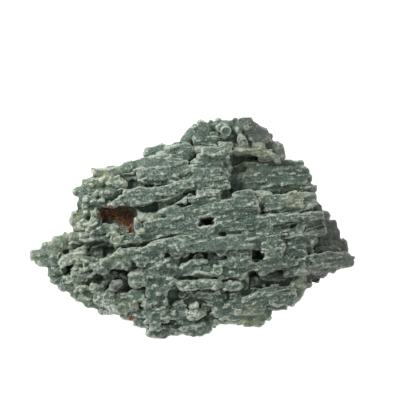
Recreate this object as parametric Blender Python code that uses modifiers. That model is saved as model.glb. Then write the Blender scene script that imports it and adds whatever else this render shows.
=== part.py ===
"""Zeolite crystal cluster: a slab of long, rounded mineral fingers grown side by side, lying on its back.

The fingers run along X, the specimen's face looks up along +Z, and its broken back is flat at Z = 0. Every
finger is a six-sided tube, the face's with drawn-in ends. All of them and the mass they grew from are one solid.
Sizes below are in millimetres and the scene is in metres.
"""

import math
import random

import bmesh
import bpy
from mathutils import Vector

MM = 0.001

# Driving dimensions
HALF_LENGTH = 81.5
HALF_WIDTH = 56.0
CREST_HEIGHT = 43.0
RIM_HEIGHT = 27.0
CREST_FALL = 2.2
SWELL_HEIGHT = 1.6
SWELL_LENGTH = (19.0, 12.0)

# The mass that the fingers grew from
MASS_INSET = 7.0
MASS_COVER = 6.0
MASS_REACH = 4.0
MASS_SEGMENTS = 40
MASS_RINGS = 14

# Fingers that fill the body below the face: layers at fixed heights, and one layer just under the face
FILL_LEVELS = (1.5, 8.0, 14.5, 21.0)
FILL_ROW_STEP = 6.8
FILL_RADIUS = (3.2, 4.3)
FILL_LENGTH = (22.0, 46.0)
FILL_COVER = 3.5
FILL_SHIFT = 1.1
FILL_SLOPE = 0.11
FILL_SAMPLE = 2.0
UNDER_DEPTH = 5.4
UNDER_ROW_STEP = 5.6
UNDER_RADIUS = (2.6, 3.2)
BASE_SCALE = 0.82
BASE_WANDER = 0.06
BELLY_HEIGHT = 20.0
SIDE_INSET = 2.2
UNDER_INSET = 3.5
SEED = 16

# How finely the fingers are grown together, and how many triangles are left of that
GRAIN = 0.55
TRIANGLES = 9500

# A finger's form
FACE_SWELL = 1.16
FACE_RELIEF = 0.85
END_LENGTH = 0.55
END_RADIUS = 0.58
LONG_FINGER = 15.0
WOBBLE = 0.09
STUB_DEPTH = 11.0

# The face's outline, seen from above, from the left tip round by the near side
OUTLINE = (
    (-81, -14), (-72, -24), (-69, -28), (-55, -38), (-45, -43), (-33, -47), (-23, -53.5), (-16, -55.5),
    (-5, -52), (3, -54), (9, -52), (14, -46), (24, -46), (29, -49), (35, -48), (40, -42), (49, -40.5),
    (56, -32), (62, -27), (70, -23), (81, -20), (80.5, -12), (75, -4), (70, 6), (63, 17), (61, 28),
    (58, 33.5), (47, 34), (42, 44), (34, 51), (31, 55), (20, 53), (5, 54), (-2, 49), (-8, 42.5),
    (-22, 40.5), (-25, 35), (-36, 31), (-51, 27.5), (-60, 18), (-57.5, 9.5), (-61.5, 4), (-58.5, -2.5),
    (-68, -5), (-79, -11),
)

# Places where the face steps down: low x, low y, high x, high y, depth
PITS = (
    (19, 17, 64, 36, 9),
    (62, -13, 90, 30, 10),
    (57, -34, 70, -23, 10),
    (29, -30, 50, -22, 8),
    (-48, -32, -31, -21, 7),
    (-54, -15, -38, -7, 8),
    (-46, 1, -29, 10, 7),
    (-66, -23, -61, -19, 5),
    (-9, -18, 10, -12, 5),
    (30, -17, 36, -11, 7),
    (3, 1, 11, 4, 7),
)

# Fingers of the face: start x, start y, end x, end y, radius, height over the face's own level
CROWN = (
    (4.0, 49.5, 6.3, 53.0, 2.6, 0),
    (0.5, 47.5, 9.5, 50.0, 3.4, 1),
    (8.0, 51.0, 21.0, 50.8, 2.5, -1),
    (20.5, 46.5, 24.0, 50.5, 2.4, 0),
    (22.0, 51.5, 31.0, 52.2, 3.2, 1),
    (13.0, 52.0, 17.3, 47.8, 2.9, 4),
    (1.0, 44.0, 13.0, 45.0, 2.6, -1),
    (26.0, 48.3, 38.0, 47.3, 2.7, -1),
    (28.0, 43.3, 39.5, 43.6, 3.3, -2),
    (35.5, 45.6, 40.5, 45.3, 1.8, -3),
    (23.8, 46.0, 26.8, 40.8, 1.9, 3),
    (43.0, 41.0, 44.1, 35.8, 2.6, -4),
    (39.0, 40.5, 43.3, 41.2, 2.2, -4),
    (2.5, 41.0, 12.0, 41.3, 2.2, -2),
    (-4.0, 43.0, 2.0, 46.0, 2.6, -1),
)
UPPER_LEFT = (
    (5.0, 37.3, 19.0, 38.6, 2.3, 5),
    (13.5, 40.2, 19.5, 40.2, 2.4, 3),
    (-21.0, 37.2, -10.0, 39.2, 3.2, -4),
    (-13.0, 37.5, -5.0, 40.0, 3.0, 0),
    (-8.0, 35.5, 2.5, 38.5, 4.2, 2),
    (-49.5, 26.6, -34.0, 28.6, 2.6, 0),
    (-34.5, 29.5, -20.0, 31.8, 2.9, 0),
    (-25.0, 31.0, -9.0, 34.6, 3.2, 1),
    (-55.0, 20.8, -39.0, 24.3, 2.7, 1),
    (-57.0, 17.4, -47.0, 19.6, 2.8, 0),
    (-41.0, 24.0, -34.4, 21.8, 2.7, 3),
    (-46.0, 20.5, -36.0, 20.5, 2.4, -1),
    (-27.0, 26.8, -12.0, 29.0, 3.4, 2),
    (-25.0, 24.2, -13.0, 25.0, 2.5, 2),
    (-17.0, 30.0, -3.0, 32.0, 3.4, 2),
    (-15.0, 25.8, -2.0, 28.0, 3.1, 2),
    (-12.0, 22.8, -4.0, 24.6, 2.0, 1),
    (-34.0, 16.9, -8.0, 18.7, 2.3, 5),
    (-12.0, 18.4, -2.4, 22.0, 2.3, 5),
    (-30.0, 13.5, -19.6, 14.2, 2.2, 5),
    (-20.0, 15.4, -4.6, 17.2, 1.8, 3),
    (-39.5, 11.6, -32.5, 14.8, 1.7, 4),
    (-47.0, 16.2, -33.0, 19.0, 2.6, 1),
    (-52.5, 13.4, -44.0, 14.0, 2.0, 2),
    (-57.0, 11.6, -49.0, 12.3, 2.1, 0),
    (-56.5, 14.6, -51.0, 16.0, 2.2, 0),
    (-44.0, 12.2, -40.0, 11.8, 1.6, 1),
)
UPPER_BLOCK = (
    (0.0, 31.4, 13.0, 31.3, 1.8, 2),
    (-1.0, 28.4, 13.6, 29.4, 2.1, 3),
    (2.0, 25.8, 17.0, 26.0, 2.3, 3),
    (3.0, 22.8, 17.4, 23.2, 1.9, 4),
    (-1.0, 20.2, 17.5, 20.7, 2.1, 3),
    (2.5, 16.4, 13.6, 16.8, 1.9, 5),
    (-6.0, 24.0, 4.0, 24.3, 2.2, 1),
    (14.5, 32.0, 18.8, 29.6, 2.4, -2),
    (12.0, 35.0, 18.0, 34.8, 2.0, -2),
    (-16.0, 12.2, 1.0, 15.4, 1.9, 1),
    (3.0, 13.4, 14.0, 13.8, 1.4, 2),
)
RECESSED_SLAB = (
    (20.0, 31.4, 56.5, 31.6, 2.6, 1),
    (21.0, 27.8, 59.0, 27.6, 2.5, 2),
    (20.0, 24.4, 60.0, 25.0, 2.4, 2),
    (21.0, 21.0, 60.0, 21.8, 2.4, 1),
    (21.0, 17.6, 61.0, 18.6, 2.4, 0),
    (52.0, 14.8, 62.0, 15.0, 2.5, -2),
)
RIGHT_FLANK = (
    (56.0, 20.2, 62.8, 19.7, 1.6, 2),
    (50.0, 11.6, 65.0, 9.6, 2.6, 1),
    (50.0, 7.4, 69.0, 5.4, 2.6, 0),
    (55.0, 1.4, 72.8, 1.4, 2.6, 0),
    (55.0, -2.6, 74.0, -2.8, 2.4, 0),
    (56.0, -7.0, 78.0, -8.4, 2.6, 1),
    (58.0, -11.4, 78.6, -12.0, 2.6, 1),
    (52.0, -25.2, 64.0, -24.8, 2.4, 2),
    (50.0, -28.4, 60.0, -27.6, 2.2, 1),
)
RIGHT_BAND = (
    (33.0, 13.0, 46.4, 14.4, 2.5, 1),
    (36.0, 10.0, 54.0, 10.3, 2.1, 1),
    (47.0, 15.0, 52.5, 16.8, 2.0, 2),
    (50.0, 13.6, 54.8, 14.0, 1.6, 2),
    (42.0, 4.6, 65.2, 6.2, 2.1, 5),
    (54.0, 1.8, 65.4, 3.0, 1.3, 3),
    (32.0, 3.8, 46.0, 4.6, 2.7, 3),
    (34.0, 0.6, 47.5, 1.2, 2.2, 0),
    (56.0, -2.2, 66.5, -1.2, 2.1, 3),
    (37.0, -2.6, 55.0, -3.0, 2.3, 2),
)
MIDDLE_RIDGE = (
    (20.5, 15.4, 30.2, 17.4, 1.9, 2),
    (20.0, 13.4, 31.0, 14.0, 2.2, 3),
    (3.0, 8.2, 20.0, 10.6, 3.0, 3),
    (14.0, 9.6, 32.0, 10.6, 3.1, 4),
    (18.0, 6.4, 32.5, 7.4, 2.2, 2),
    (-6.0, 6.6, 3.0, 8.4, 2.6, 3),
    (-15.0, 8.6, -6.0, 8.2, 2.7, 2),
    (-22.0, 3.6, -11.0, 3.8, 3.4, 2),
    (-24.5, 0.4, -4.0, 2.4, 2.5, 2),
    (-25.0, -2.8, -6.0, -0.2, 2.2, 1),
    (-26.0, -5.8, -9.0, -2.6, 1.8, 0),
    (-13.0, 4.4, 3.0, 5.0, 3.0, 3),
    (-10.0, 0.8, 5.0, 0.4, 3.0, 2),
    (-6.0, -2.8, 9.0, -2.2, 2.5, 2),
    (3.0, -1.0, 13.0, -0.4, 2.1, 2),
    (11.0, 2.4, 28.0, 3.6, 2.4, 2),
    (13.0, -0.2, 27.0, -0.6, 1.7, 2),
    (12.0, 5.0, 30.0, 6.0, 2.0, 1),
    (25.0, 0.6, 35.0, 1.0, 2.3, 1),
)
LONG_FINGERS = (
    (-6.0, -8.6, 15.0, -7.8, 2.9, 5),
    (11.0, -7.6, 31.0, -6.4, 3.5, 5),
    (26.0, -5.6, 42.0, -5.2, 4.0, 4),
    (34.0, -9.6, 45.5, -8.2, 3.3, 5),
    (37.0, -12.2, 44.0, -10.6, 3.0, 5),
    (-10.5, -9.8, -5.0, -8.0, 4.2, 5),
    (-20.0, -10.0, -12.5, -8.2, 2.7, 5),
    (-27.8, -14.8, -19.5, -13.4, 2.7, 6),
    (-36.0, -13.4, -22.0, -10.8, 1.8, 3),
    (18.0, -14.4, 29.0, -13.4, 2.6, 3),
    (20.0, -17.0, 28.6, -15.6, 2.6, 5),
    (17.0, -17.6, 24.0, -18.0, 2.2, 3),
    (-8.0, -19.6, 3.0, -19.4, 3.4, 1),
    (1.0, -21.0, 10.0, -20.6, 3.2, 2),
    (12.0, -22.2, 27.0, -22.0, 2.5, 2),
    (9.0, -18.0, 20.0, -17.6, 2.2, -1),
    (8.0, -14.6, 17.0, -14.2, 2.2, -2),
    (24.0, -19.0, 44.0, -17.6, 2.4, 2),
    (33.8, -21.6, 40.0, -19.8, 2.0, 4),
)
RIGHT_TIP = (
    (45.0, -10.6, 57.0, -8.4, 2.8, 2),
    (38.0, -15.4, 57.0, -13.2, 2.5, 2),
    (50.0, -6.2, 62.0, -6.4, 2.4, 1),
    (60.0, -12.4, 73.0, -10.9, 2.2, 5),
    (59.0, -15.4, 79.6, -14.4, 2.2, 2),
    (52.0, -17.8, 81.2, -17.4, 2.6, 3),
    (44.0, -18.0, 58.0, -16.6, 2.6, 2),
    (55.0, -20.8, 63.2, -19.4, 1.9, 5),
    (60.0, -20.8, 72.0, -19.8, 2.2, 2),
    (46.0, -21.4, 58.0, -21.2, 2.4, 2),
    (48.0, -24.6, 52.0, -23.4, 2.2, 3),
    (33.0, -24.0, 47.0, -23.8, 2.3, 2),
    (33.0, -27.2, 50.0, -27.2, 2.4, 1),
)
LOWER_RIGHT = (
    (29.0, -32.6, 52.0, -31.4, 2.4, 2),
    (19.0, -35.2, 38.0, -33.6, 2.4, 2),
    (17.0, -38.2, 37.0, -36.6, 2.8, 3),
    (11.0, -41.0, 36.0, -39.8, 3.0, 3),
    (13.0, -43.4, 33.0, -42.4, 2.4, 1),
    (39.0, -35.4, 49.0, -36.0, 2.5, 4),
    (37.0, -38.6, 47.5, -38.6, 2.1, 2),
    (26.0, -46.0, 36.0, -45.8, 2.8, 2),
    (32.0, -43.4, 38.0, -42.6, 2.6, 3),
    (4.0, -34.4, 17.0, -35.0, 2.6, 0),
    (14.0, -32.0, 27.0, -31.4, 1.9, -2),
)
LOWER_MIDDLE = (
    (-7.6, -28.2, 14.5, -27.6, 2.3, 6),
    (16.5, -28.6, 23.8, -28.4, 2.3, 5),
    (-2.0, -31.2, 13.0, -31.6, 1.9, 0),
    (29.0, -27.0, 32.4, -28.0, 2.5, 2),
    (-22.0, -17.8, -10.0, -18.0, 3.6, 4),
    (-20.0, -22.0, -10.6, -23.4, 3.6, 4),
    (-29.4, -24.6, -24.0, -25.0, 4.3, 6),
    (-20.4, -26.0, -20.0, -36.0, 3.4, 4),
    (-13.4, -25.0, -13.6, -35.0, 3.2, 4),
    (-17.0, -27.0, -17.0, -39.0, 3.2, 3),
    (-14.6, -41.0, -12.6, -45.0, 2.8, 4),
    (-19.6, -45.6, -17.0, -49.0, 2.7, 4),
    (-23.5, -41.0, -16.5, -42.0, 2.6, 2),
    (-22.5, -50.6, -12.5, -52.4, 3.2, 2),
    (-13.0, -50.8, -4.0, -50.0, 2.6, 1),
    (-5.0, -49.2, 5.0, -51.6, 3.0, 2),
    (0.0, -48.0, 8.2, -49.6, 3.0, 3),
    (7.0, -46.4, 12.0, -46.4, 2.2, 1),
    (-9.5, -42.6, -2.0, -42.0, 2.8, 2),
    (-9.0, -46.8, 3.0, -46.6, 2.8, 0),
    (-1.0, -43.4, 4.8, -41.8, 2.7, 6),
    (5.0, -38.6, 12.0, -38.0, 2.6, 0),
)
LOWER_LEFT = (
    (-81.3, -13.6, -68.0, -12.2, 2.5, 1),
    (-78.6, -16.2, -66.0, -17.0, 2.3, 1),
    (-76.0, -10.6, -64.0, -8.6, 2.6, 1),
    (-70.0, -7.0, -62.0, -6.4, 2.7, 2),
    (-63.5, -4.6, -51.0, -4.2, 2.4, 1),
    (-70.0, -13.8, -65.0, -14.6, 2.6, 3),
    (-65.5, -16.2, -54.0, -14.2, 2.5, 5),
    (-61.0, -13.6, -53.6, -12.0, 2.3, 4),
    (-56.0, -16.4, -46.0, -18.0, 2.4, 2),
    (-46.0, -18.2, -34.0, -14.4, 2.2, 4),
    (-49.0, -19.6, -41.0, -20.4, 2.5, 5),
    (-38.0, -16.6, -33.0, -17.6, 2.8, 5),
    (-72.0, -21.6, -63.0, -19.6, 2.4, 1),
    (-60.0, -22.4, -50.0, -22.2, 2.6, 1),
    (-71.0, -25.4, -58.0, -26.8, 2.6, 0),
    (-67.0, -28.8, -56.0, -29.8, 2.6, 1),
    (-61.0, -32.6, -49.0, -35.8, 2.5, 0),
    (-54.0, -36.4, -43.0, -38.4, 2.5, 0),
    (-52.0, -31.8, -44.0, -30.2, 2.8, 1),
    (-48.0, -35.0, -35.0, -36.2, 3.0, 2),
    (-43.0, -39.4, -27.0, -38.6, 2.7, 2),
    (-46.0, -41.4, -38.0, -41.0, 1.9, 0),
    (-36.0, -42.4, -23.0, -44.4, 2.6, 1),
    (-29.0, -46.6, -20.0, -47.6, 2.5, 1),
    (-36.0, -34.8, -24.0, -33.6, 2.7, 1),
    (-40.0, -31.0, -35.0, -26.4, 1.9, 6),
    (-44.0, -27.6, -38.0, -24.0, 2.0, 1),
    (-31.0, -20.6, -24.0, -20.0, 2.2, -1),
)
LEFT_LOBE = (
    (-58.2, 5.0, -52.0, 5.6, 3.3, 1),
    (-58.4, 0.8, -51.0, 0.8, 2.9, 1),
    (-55.0, 8.6, -49.0, 8.4, 2.2, 1),
    (-51.2, 8.6, -49.6, -3.0, 2.9, 4),
    (-47.6, 8.0, -47.0, 1.0, 2.2, 3),
    (-45.0, -1.0, -38.0, -0.4, 2.0, 1),
    (-46.0, -4.6, -31.0, -3.0, 2.4, 0),
    (-27.6, 4.8, -26.0, -2.6, 1.8, 4),
    (-33.0, -5.6, -26.0, -4.6, 2.2, 0),
)
FACE = (
    CROWN + UPPER_LEFT + UPPER_BLOCK + RECESSED_SLAB + RIGHT_FLANK + RIGHT_BAND + MIDDLE_RIDGE
    + LONG_FINGERS + RIGHT_TIP + LOWER_RIGHT + LOWER_MIDDLE + LOWER_LEFT + LEFT_LOBE
)

# Short fingers that stand out of the face: tip x, tip y, radius, height over the face, lean along x, lean along y
STUBS = (
    (-37.6, -4.8, 2.7, 4.0, 0.5, 1.0),
    (-48.0, -12.4, 3.2, -2.0, 1.5, -1.0),
    (-52.0, -18.4, 2.4, 4.5, 0.5, -1.0),
    (-56.5, -29.8, 2.6, 4.0, -1.0, -1.5),
    (3.6, -14.4, 2.5, 3.5, 1.0, 1.5),
    (12.6, -20.4, 2.4, 4.5, 0.0, 0.5),
    (-3.0, -13.0, 2.2, 4.0, -0.5, -2.0),
    (14.3, -12.0, 1.9, 3.5, 0.5, -2.5),
    (-5.4, -33.2, 1.9, 0.5, 0.5, 1.0),
    (-6.6, -37.4, 2.2, 1.5, 1.5, -1.0),
    (2.4, -37.8, 1.7, 5.0, 0.5, 1.5),
    (54.0, 0.3, 1.9, 3.0, 2.5, 0.0),
    (40.2, -35.4, 2.3, 5.0, -1.0, -1.0),
    (-67.4, -7.6, 2.4, 4.5, -1.0, 0.0),
    (-69.6, -16.4, 2.3, 4.0, -1.0, 0.0),
    (-42.0, -8.6, 2.0, 0.0, 1.0, 0.0),
    (3.3, 35.4, 1.8, 5.0, 0.0, -1.5),
    (18.0, 35.2, 1.6, 5.0, 0.0, -1.5),
    (1.4, 14.6, 1.8, 4.5, 0.5, 0.5),
    (-18.6, -47.6, 2.5, 4.5, 1.0, -1.0),
)

# Fingers with a bend: radius, height over the face, then the points that the finger passes, x and y
BENT = (
    (1.7, 4.0, ((20.5, 38.6), (28.0, 38.4), (34.5, 37.4), (39.5, 36.2), (42.0, 33.6))),
    (2.6, 4.0, ((54.4, -22.8), (54.4, -28.6), (52.4, -33.4), (47.4, -38.0))),
)


def crest(x, y):
    """Height of the face above the table at a place, before its pits."""
    reach = math.hypot(x / (HALF_LENGTH + 3), y / (HALF_WIDTH + 3))
    swell = SWELL_HEIGHT * math.sin(x / SWELL_LENGTH[0] + 1.1) * math.cos(y / SWELL_LENGTH[1] + 0.4)
    return RIM_HEIGHT + (CREST_HEIGHT - RIM_HEIGHT) * (1 - min(reach, 1.0) ** CREST_FALL) + swell


def pit_depth(x, y):
    """How far the face is stepped down at a place."""
    return max((depth for x0, y0, x1, y1, depth in PITS if x0 <= x <= x1 and y0 <= y <= y1), default=0.0)


def face_height(x, y):
    """Height of the face above the table, pits included."""
    return crest(x, y) - pit_depth(x, y)


def outline_span(y):
    """The lowest and highest x of the outline at one y, or None outside it."""
    crossings = []
    for (x0, y0), (x1, y1) in zip(OUTLINE, OUTLINE[1:] + OUTLINE[:1]):
        if (y0 <= y) != (y1 <= y):
            crossings.append(x0 + (x1 - x0) * (y - y0) / (y1 - y0))
    return (min(crossings), max(crossings)) if crossings else None


def side_scale(x, y, z):
    """The body's outline at one height, as a share of the face's: it pulls in unevenly towards the back."""
    angle = math.atan2(y, x)
    base = BASE_SCALE + BASE_WANDER * (math.sin(2 * angle + 0.8) + 0.6 * math.sin(5 * angle))
    return base + (1 - base) * math.sin(math.pi / 2 * min(1.0, max(z, 0.0) / BELLY_HEIGHT))


def face_fingers():
    """Paths of the fingers that show on the face: a list of points with the radius."""
    paths = []
    for x0, y0, x1, y1, radius, lift in FACE:
        middle = Vector(((x0 + x1) / 2, (y0 + y1) / 2))
        level = face_height(middle.x, middle.y) - radius + lift * FACE_RELIEF
        tilt = (crest(x1, y1) - crest(x0, y0)) / 2
        ends = [Vector((x0, y0, level - tilt)), Vector((x1, y1, level + tilt))]
        paths.append((ends, radius * FACE_SWELL))
    for x, y, radius, lift, lean_x, lean_y in STUBS:
        top = face_height(x, y) + lift
        root = Vector((x - 2 * lean_x, y - 2 * lean_y, top - STUB_DEPTH))
        paths.append(([root, Vector((x, y, top))], radius))
    for radius, lift, points in BENT:
        paths.append(([Vector((x, y, crest(x, y) - radius + lift)) for x, y in points], radius))
    return paths


def inside(x, y, scale, inset):
    """Whether a place lies inside the scaled outline, at least inset away from its edge along x and along y."""
    for row in (y - inset, y, y + inset):
        span = outline_span(row / scale)
        if not span or not span[0] * scale + inset <= x <= span[1] * scale - inset:
            return False
    return True


def side_kind(x, y, z):
    """Whether a finger of a fixed layer has room at a place: inside the body and under the face."""
    room = inside(x, y, side_scale(x, y, z), SIDE_INSET) and z + FILL_COVER <= face_height(x, y)
    return 0 if room else None


def under_kind(x, y):
    """The step of the face over a place, for the layer just under it, or None too near the edge."""
    return pit_depth(x, y) if inside(x, y, 1.0, UNDER_INSET) else None


def row_runs(y_row, kind_at):
    """Stretches along a row where kind_at gives one and the same value."""
    runs, start, kind, x = [], None, None, -HALF_LENGTH
    while x <= HALF_LENGTH + FILL_SAMPLE:
        here = kind_at(x, y_row + FILL_SLOPE * x)
        if here != kind:
            if kind is not None:
                runs.append((start, x - FILL_SAMPLE))
            start, kind = x, here
        x += FILL_SAMPLE
    return runs


def laid_fingers(dice, row_step, row_offset, radii, kind_at, height_at):
    """Paths of one layer of fingers: rows along X, each filled with fingers end to end."""
    paths = []
    rows = int(2 * HALF_WIDTH / row_step) + 3
    for row in range(rows):
        y_row = (row - rows / 2 + row_offset) * row_step
        for low, high in row_runs(y_row, kind_at):
            x = low
            while high - x > 2 * radii[1]:
                length = dice.uniform(*FILL_LENGTH)
                end = high if high - x - length < FILL_LENGTH[0] / 2 else x + length
                y_shift, z_shift, z_end = (dice.uniform(-FILL_SHIFT, FILL_SHIFT) for _ in range(3))
                y0, y1 = y_row + FILL_SLOPE * x + y_shift, y_row + FILL_SLOPE * end + y_shift
                z = height_at((x + end) / 2, (y0 + y1) / 2)
                paths.append(([Vector((x, y0, z + z_shift)), Vector((end, y1, z + z_end))], dice.uniform(*radii)))
                x = end
    return paths


def filling_fingers():
    """Paths of the fingers that make the sides and what shows between the face's fingers."""
    dice = random.Random(SEED)
    paths = []
    for level, z in enumerate(FILL_LEVELS):
        paths += laid_fingers(
            dice, FILL_ROW_STEP, 0.5 * (level % 2), FILL_RADIUS, lambda x, y: side_kind(x, y, z), lambda x, y: z
        )
    paths += laid_fingers(
        dice, UNDER_ROW_STEP, 0.0, UNDER_RADIUS, under_kind, lambda x, y: face_height(x, y) - UNDER_DEPTH
    )
    return paths


def finger_stations(points, radius, dice, plain):
    """Points and radii along one finger, with drawn-in ends and a slight swell and bend between them."""
    if plain:
        return [(point, radius) for point in points]
    if len(points) == 2:
        start, end = points
        along = (end - start).normalized()
        drawn = min(END_LENGTH * radius, 0.3 * (end - start).length)
        inner = [start + along * drawn, end - along * drawn]
        if (end - start).length > LONG_FINGER:
            bend = Vector((0, dice.uniform(-1, 1), dice.uniform(-1, 1))) * WOBBLE * 4
            inner.insert(1, start.lerp(end, dice.uniform(0.4, 0.6)) + bend)
        points = [start, *inner, end]
    shares = [END_RADIUS] + [1 + dice.uniform(-WOBBLE, WOBBLE) for _ in points[1:-1]] + [END_RADIUS]
    return [(point, radius * share) for point, share in zip(points, shares)]


def fingers_object(shown, filling, name):
    """All fingers as one curve of six-sided tubes, made a mesh with its caps welded."""
    dice = random.Random(SEED + 1)
    curve = bpy.data.curves.new(name, "CURVE")
    curve.dimensions = "3D"
    curve.bevel_depth = MM
    curve.bevel_resolution = 1
    curve.use_fill_caps = True
    for number, (points, radius) in enumerate(shown + filling):
        stations = finger_stations(points, radius, dice, number >= len(shown))
        spline = curve.splines.new("POLY")
        spline.points.add(len(stations) - 1)
        turn = dice.uniform(0, math.pi / 3)
        for slot, (point, thickness) in zip(spline.points, stations):
            slot.co = (*(point * MM), 1)
            slot.radius = thickness
            slot.tilt = turn
    tubes = bpy.data.objects.new(name + "_curve", curve)
    bpy.context.scene.collection.objects.link(tubes)
    bpy.context.view_layer.update()
    graph = bpy.context.evaluated_depsgraph_get()
    mesh = bpy.data.meshes.new_from_object(tubes.evaluated_get(graph))
    fingers = bpy.data.objects.new(name, mesh)
    fingers.matrix_world = tubes.matrix_world
    bpy.data.objects.remove(tubes)
    shape = bmesh.new()
    shape.from_mesh(mesh)
    bmesh.ops.remove_doubles(shape, verts=shape.verts, dist=1e-6)
    shape.to_mesh(mesh)
    shape.free()
    return fingers


def outline_reach(angle):
    """How far the outline reaches from the centre in one direction."""
    way = Vector((math.cos(angle), math.sin(angle)))
    reach = 0.0
    for first, second in zip(OUTLINE, OUTLINE[1:] + OUTLINE[:1]):
        a, b = Vector(first), Vector(second)
        side = b - a
        cross = way.x * side.y - way.y * side.x
        if abs(cross) < 1e-9:
            continue
        share = (a.y * way.x - a.x * way.y) / -cross
        if 0 <= share <= 1:
            reach = max(reach, (a + side * share).dot(way))
    return reach


def mass_object(name):
    """The rounded mass inside: a sphere drawn out to the outline, kept under the face and its pits."""
    shape = bmesh.new()
    bmesh.ops.create_uvsphere(shape, u_segments=MASS_SEGMENTS, v_segments=MASS_RINGS, radius=1.0)
    for vert in shape.verts:
        angle = math.atan2(vert.co.y, vert.co.x)
        share = math.hypot(vert.co.x, vert.co.y) ** 0.7
        height = max(0.0, vert.co.z) * CREST_HEIGHT
        edge = side_scale(math.cos(angle), math.sin(angle), height)
        reach = (outline_reach(angle) * edge - MASS_INSET) * share
        x, y = reach * math.cos(angle), reach * math.sin(angle)
        around = ((0, 0), (1, 0), (-1, 0), (0, 1), (0, -1), (1, 1), (-1, -1), (1, -1), (-1, 1))
        top = min(face_height(x + MASS_REACH * i, y + MASS_REACH * j) for i, j in around) - MASS_COVER
        z = top * vert.co.z ** 0.5 if vert.co.z > 0 else 8 * vert.co.z
        vert.co = Vector((x, y, z)) * MM
    mesh = bpy.data.meshes.new(name)
    shape.to_mesh(mesh)
    shape.free()
    return bpy.data.objects.new(name, mesh)


def ground_cutter(name):
    """A block under the table's level, which cuts the back flat."""
    shape = bmesh.new()
    bmesh.ops.create_cube(shape, size=1.0)
    bmesh.ops.scale(shape, vec=Vector((4 * HALF_LENGTH, 4 * HALF_WIDTH, 30)) * MM, verts=shape.verts)
    bmesh.ops.translate(shape, vec=(0, 0, -15 * MM), verts=shape.verts)
    mesh = bpy.data.meshes.new(name)
    shape.to_mesh(mesh)
    shape.free()
    return bpy.data.objects.new(name, mesh)


def evaluated_mesh(obj):
    """The object's mesh with its modifiers applied."""
    bpy.context.view_layer.update()
    graph = bpy.context.evaluated_depsgraph_get()
    return bpy.data.meshes.new_from_object(obj.evaluated_get(graph))


def join_meshes(target, other):
    """Adds the other object's mesh to the target's and removes the other object."""
    shape = bmesh.new()
    shape.from_mesh(target.data)
    shape.from_mesh(other.data)
    shape.to_mesh(target.data)
    shape.free()
    bpy.data.objects.remove(other)


def grow_together(target):
    """Melts the overlapping fingers and the mass into one closed body."""
    remesh = target.modifiers.new("Grow", "REMESH")
    remesh.mode = "VOXEL"
    remesh.voxel_size = GRAIN * MM
    mesh = evaluated_mesh(target)
    target.modifiers.remove(remesh)
    target.data = mesh


def keep_outer_shell(mesh):
    """Removes the walls of pockets sealed inside, which nobody sees, and leaves the outer surface."""
    shape = bmesh.new()
    shape.from_mesh(mesh)
    unseen = set(shape.verts)
    outer = set()
    while unseen:
        front = [unseen.pop()]
        shell = set(front)
        while front:
            for edge in front.pop().link_edges:
                for vert in edge.verts:
                    if vert in unseen:
                        unseen.discard(vert)
                        shell.add(vert)
                        front.append(vert)
        outer = max(outer, shell, key=len)
    bmesh.ops.delete(shape, geom=[vert for vert in shape.verts if vert not in outer], context="VERTS")
    shape.to_mesh(mesh)
    shape.free()


def simplify(target):
    """Leaves about as many triangles as the body needs, and keeps the ridges of the fingers."""
    shown = sum(len(polygon.vertices) - 2 for polygon in target.data.polygons)
    decimate = target.modifiers.new("Simplify", "DECIMATE")
    decimate.ratio = min(1.0, TRIANGLES / shown)


def cut_flat(target, cutter):
    """Cuts the back off along the table's level."""
    cutter.hide_render = True
    cutter.display_type = "WIRE"
    flat = target.modifiers.new("FlatBack", "BOOLEAN")
    flat.operation = "DIFFERENCE"
    flat.solver = "EXACT"
    flat.object = cutter


def mineral_material():
    """Grey-green, glassy mineral."""
    material = bpy.data.materials.new("grey_green_mineral")
    material.use_nodes = True
    shader = material.node_tree.nodes["Principled BSDF"]
    shader.inputs["Base Color"].default_value = (0.114, 0.147, 0.120, 1.0)
    shader.inputs["Roughness"].default_value = 0.42
    shader.inputs["Metallic"].default_value = 0.0
    return material


def main():
    for obj in list(bpy.data.objects):
        bpy.data.objects.remove(obj)
    parts = bpy.data.collections.new("zeolite_crystal_cluster")
    cutters = bpy.data.collections.new("cutters")
    for collection in (parts, cutters):
        bpy.context.scene.collection.children.link(collection)
    cluster = mass_object("crystal_cluster")
    parts.objects.link(cluster)
    join_meshes(cluster, fingers_object(face_fingers(), filling_fingers(), "fingers"))
    grow_together(cluster)
    keep_outer_shell(cluster.data)
    cluster.data.materials.append(mineral_material())
    ground = ground_cutter("ground")
    cutters.objects.link(ground)
    simplify(cluster)
    cut_flat(cluster, ground)


main()
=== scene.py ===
"""Zeolite crystal cluster: the looks of the specimen on its solid.

The mineral fingers are laid out as on the solid, but finer, with lobes, ribs and knobs, gaps pressed in between
them and small fingers laid over them. Each region is grown together into one rough piece. A crust of small
crystals lies on all of them, with rust grains in one hollow. Sizes in the tables are millimetres, on the solid's
axes: X along the fingers, Y across them towards the crown, Z up out of the face.
"""

import math
import random

import bpy
import numpy as np
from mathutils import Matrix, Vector, noise


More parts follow.
